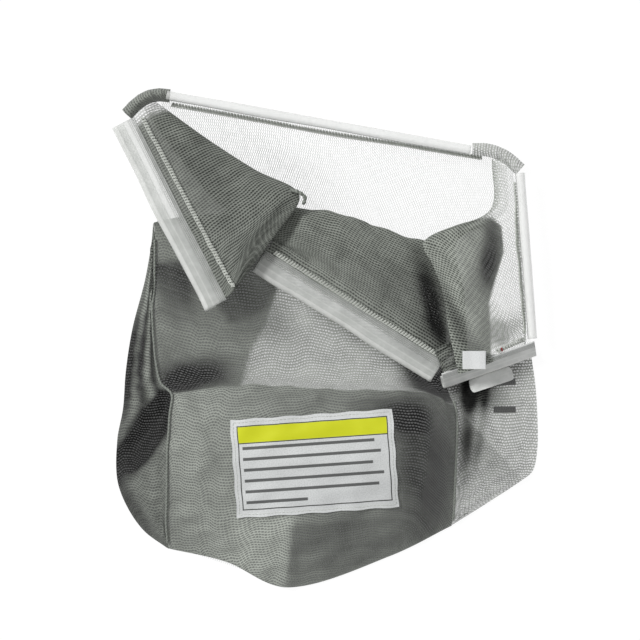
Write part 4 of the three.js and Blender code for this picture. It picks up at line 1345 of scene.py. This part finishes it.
LABEL_V = main_v(10.5)
LABEL_LIFT = 1.3


def label_grid(columns, rows):
    along, up = np.meshgrid((shares(columns) - 0.5) * LABEL_WIDTH, (shares(rows) - 0.5) * LABEL_HEIGHT)
    edge_wave = 0.5 * np.sin(along / 5.3) * (2 * up / LABEL_HEIGHT) ** 9
    side_wave = 0.45 * np.sin(up / 4.7) * (2 * along / LABEL_WIDTH) ** 9
    plan = turned_plan(LABEL_CENTRE, LABEL_TURN, along + side_wave, up + edge_wave)
    u, v = main.find(plan, LABEL_V, 1.0)
    below = main.place(u, v)[..., 2]
    height = np.maximum(soften(below, 14) + LABEL_LIFT, below + 0.9)
    grid = np.concatenate([plan, soften(height, 2)[..., None]], axis=-1)
    flat = np.stack([along + LABEL_WIDTH / 2, up + LABEL_HEIGHT / 2], axis=-1)
    return grid, flat


label_places, label_flat = label_grid(114, 70)
label_piece = make_piece(
    "label_patch", label_places, grid_faces(71, 115), label_tape, weave=label_flat, plan=label_flat
)
settle(label_piece, "label", "label")


def label_stitches():
    """Short stitches round the label, just inside its edge."""
    inset = 3.0
    inset_u, inset_v = inset / LABEL_WIDTH, inset / LABEL_HEIGHT
    far_u, far_v = 1 - inset_u, 1 - inset_v
    corners = [(inset_u, inset_v), (far_u, inset_v), (far_u, far_v), (inset_u, far_v)]
    patch = Cloth(label_places)
    bundle = Bundle()
    for (u0, v0), (u1, v1) in zip(corners, corners[1:] + corners[:1]):
        length = math.hypot((u1 - u0) * LABEL_WIDTH, (v1 - v0) * LABEL_HEIGHT)
        count = int(length / 4)
        for n in range(count):
            share = (n + np.linspace(0.12, 0.8, 7)) / count
            arch = 0.25 * np.sin(np.linspace(0, math.pi, 7))
            path = patch.place(u0 + (u1 - u0) * share, v0 + (v1 - v0) * share, arch[:, None])
            bundle.add(path, 0.28, 5, np.array((0.0, 0.0, 1.0)))
    return bundle.piece("label_stitches", overlock)


settle(label_stitches(), "stitching")

# Tag


def tag_piece():
    """A tape folded back on itself, a little open at the fold."""
    fold = 1.3
    bend = TAG_WIDTH - fold
    flat = np.linspace(0, bend, 24)
    turn = np.radians(np.linspace(-90, 90, 12))[1:-1]
    lower = np.column_stack([flat, 0.15 * np.sin(flat / 5)])
    nose = np.column_stack([bend + fold * np.cos(turn), fold + fold * np.sin(turn)])
    upper = np.column_stack([flat[::-1], 2 * fold - 0.5 * (1 - flat[::-1] / bend) + 0.2 * np.sin(flat / 3)])
    section = np.concatenate([lower, nose, upper])
    across = unit(np.array((1, 0, TAG_SLOPE)))
    down = np.array((0.0, -1.0, 0.0))
    face = np.cross(down, across)
    far = np.linspace(-TAG_HEIGHT, 0, 20)
    curl = 0.35 * ((far + TAG_HEIGHT / 2) / (TAG_HEIGHT / 2)) ** 2
    x = section[None, :, 0] + 0 * far[:, None]
    y = section[None, :, 1] + curl[:, None] * section[None, :, 0] / TAG_WIDTH
    grid = (
        np.array(TAG_CORNER)
        + down * far[:, None, None]
        + across * x[..., None]
        + face * (y[..., None] + 0.2)
    )
    around = path_length(np.column_stack([section, 0 * section[:, 0]]))
    weave = np.stack(np.meshgrid(around, far), axis=-1)
    return make_piece("folded_tag", grid, grid_faces(*grid.shape[:2]), tag_tape, weave=weave)


tag = settle(tag_piece(), "tag", "tag")

# Red tack


def tack_piece():
    """Three red stitches side by side, across the overlock stitching."""
    places, ups = right_gusset.edge_line("end", SERGE_SETBACK, 0.28, 0.38)
    spot = len(places) // 2
    centre = places[spot] + ups[spot] * (CLOTH / 2 + GAP + SERGE_HEIGHT + GAP)
    ahead = unit(places[spot + 1] - places[spot - 1])
    across = unit(np.cross(ahead, ups[spot]))
    bundle = Bundle()
    share = np.linspace(-1, 1, 12)[:, None]
    for n in (-1, 0, 1):
        arch = ups[spot] * 0.5 * (1 - share**2)
        path = centre + ahead * n * 0.55 + across * share * TACK_LENGTH / 2 + arch
        bundle.add(path, 0.33, 6, ups[spot])
    return bundle.piece("red_tack", red_thread)


settle(tack_piece(), "tack", "tack_stitch")

# Stiffener strip


def stiffener_piece():
    """A flat strip with rounded edges that follows the side panel under it."""
    steps = 40
    along = (shares(steps) - 0.5) * STIFFENER_LENGTH
    half, thick = STIFFENER_WIDTH / 2, 1.4
    edge = thick / 2
    section = np.concatenate([
        arc((half - edge, 0), edge, -90, 90, 8),
        np.column_stack([np.linspace(half - edge, edge - half, 9)[1:-1], np.full(7, edge)]),
        arc((edge - half, 0), edge, 90, 270, 8),
        np.column_stack([np.linspace(edge - half, half - edge, 9)[1:-1], np.full(7, -edge)]),
    ])
    narrow = np.sqrt(np.clip(1 - (np.abs(along) / (STIFFENER_LENGTH / 2)) ** 24, 0.15, 1))
    plan = turned_plan(
        STIFFENER_CENTRE, STIFFENER_TURN, along[:, None] + 0 * section[None, :, 0],
        section[None, :, 0] * narrow[:, None],
    )
    u, v = right_side.find(plan)
    below = right_side.place(u, v)[..., 2]
    base = soften(below, 6) + CLOTH / 2 + GAP + 0.3 + edge
    grid = np.concatenate([plan, (base + section[None, :, 1] * narrow[:, None])[..., None]], axis=-1)
    count = len(section)
    around = path_length(np.column_stack([section, 0 * section[:, 0]]))
    weave = np.stack(np.meshgrid(around, along), axis=-1)
    return make_piece(
        "stiffener",
        grid,
        grid_faces(steps + 1, count, around=True),
        milky,
        weave=weave,
        caps=[np.arange(count)[::-1], np.arange(count) + steps * count],
    )


settle(stiffener_piece(), "stiffener", "stiffener_strip")

# Floor, light and camera

PHOTO_SPAN = 0.6784  # metres of plan across the picture
PHOTO_CENTRE = (-4.24, 19.08)
CAMERA_HEIGHT = 6.0

floor_mesh = bpy.data.meshes.new("floor")
floor_mesh.from_pydata([(-4, -4, 0), (4, -4, 0), (4, 4, 0), (-4, 4, 0)], [], [(0, 1, 2, 3)])
floor_mesh.materials.append(floor_material())
floor = bpy.data.objects.new("floor", floor_mesh)
floor.location.z = -0.0004
bpy.context.collection.objects.link(floor)


def set_world(fill):
    """Even light from all round, and white where the camera sees past the floor."""
    world = bpy.data.worlds.new("studio")
    world.use_nodes = True
    tree = world.node_tree
    path = add_node(tree, "ShaderNodeLightPath").outputs
    strength = calc(tree, "MULTIPLY_ADD", path["Is Camera Ray"], 1 - fill, fill)
    shade = tree.nodes["Background"].inputs
    shade["Color"].default_value = (1, 1, 1, 1)
    tree.links.new(strength, shade["Strength"])
    bpy.context.scene.world = world


def add_sun(name, strength, angle, azimuth, elevation):
    """A soft lamp far off, seen from the middle of the bag at that azimuth and elevation."""
    light = bpy.data.lights.new(name, "SUN")
    light.energy = strength
    light.angle = math.radians(angle)
    lamp = bpy.data.objects.new(name, light)
    a, e = math.radians(azimuth), math.radians(elevation)
    toward = Vector((math.cos(a) * math.cos(e), math.sin(a) * math.cos(e), math.sin(e)))
    lamp.rotation_euler = toward.to_track_quat("Z", "Y").to_euler()
    lamp.location = toward * 2
    bpy.context.collection.objects.link(lamp)


set_world(0.42)
add_sun("key", 2.0, 14, 150, 42)

camera_data = bpy.data.cameras.new("camera")
camera_data.sensor_width = 36
camera_data.lens = 36 * CAMERA_HEIGHT / PHOTO_SPAN
camera_data.clip_end = 50
camera = bpy.data.objects.new("camera", camera_data)
aim = to_frame((PHOTO_CENTRE[0], PHOTO_CENTRE[1], 0))
camera.location = (aim[0], aim[1], CAMERA_HEIGHT)
bpy.context.collection.objects.link(camera)
scene = bpy.context.scene
scene.camera = camera
scene.view_settings.view_transform = "Standard"
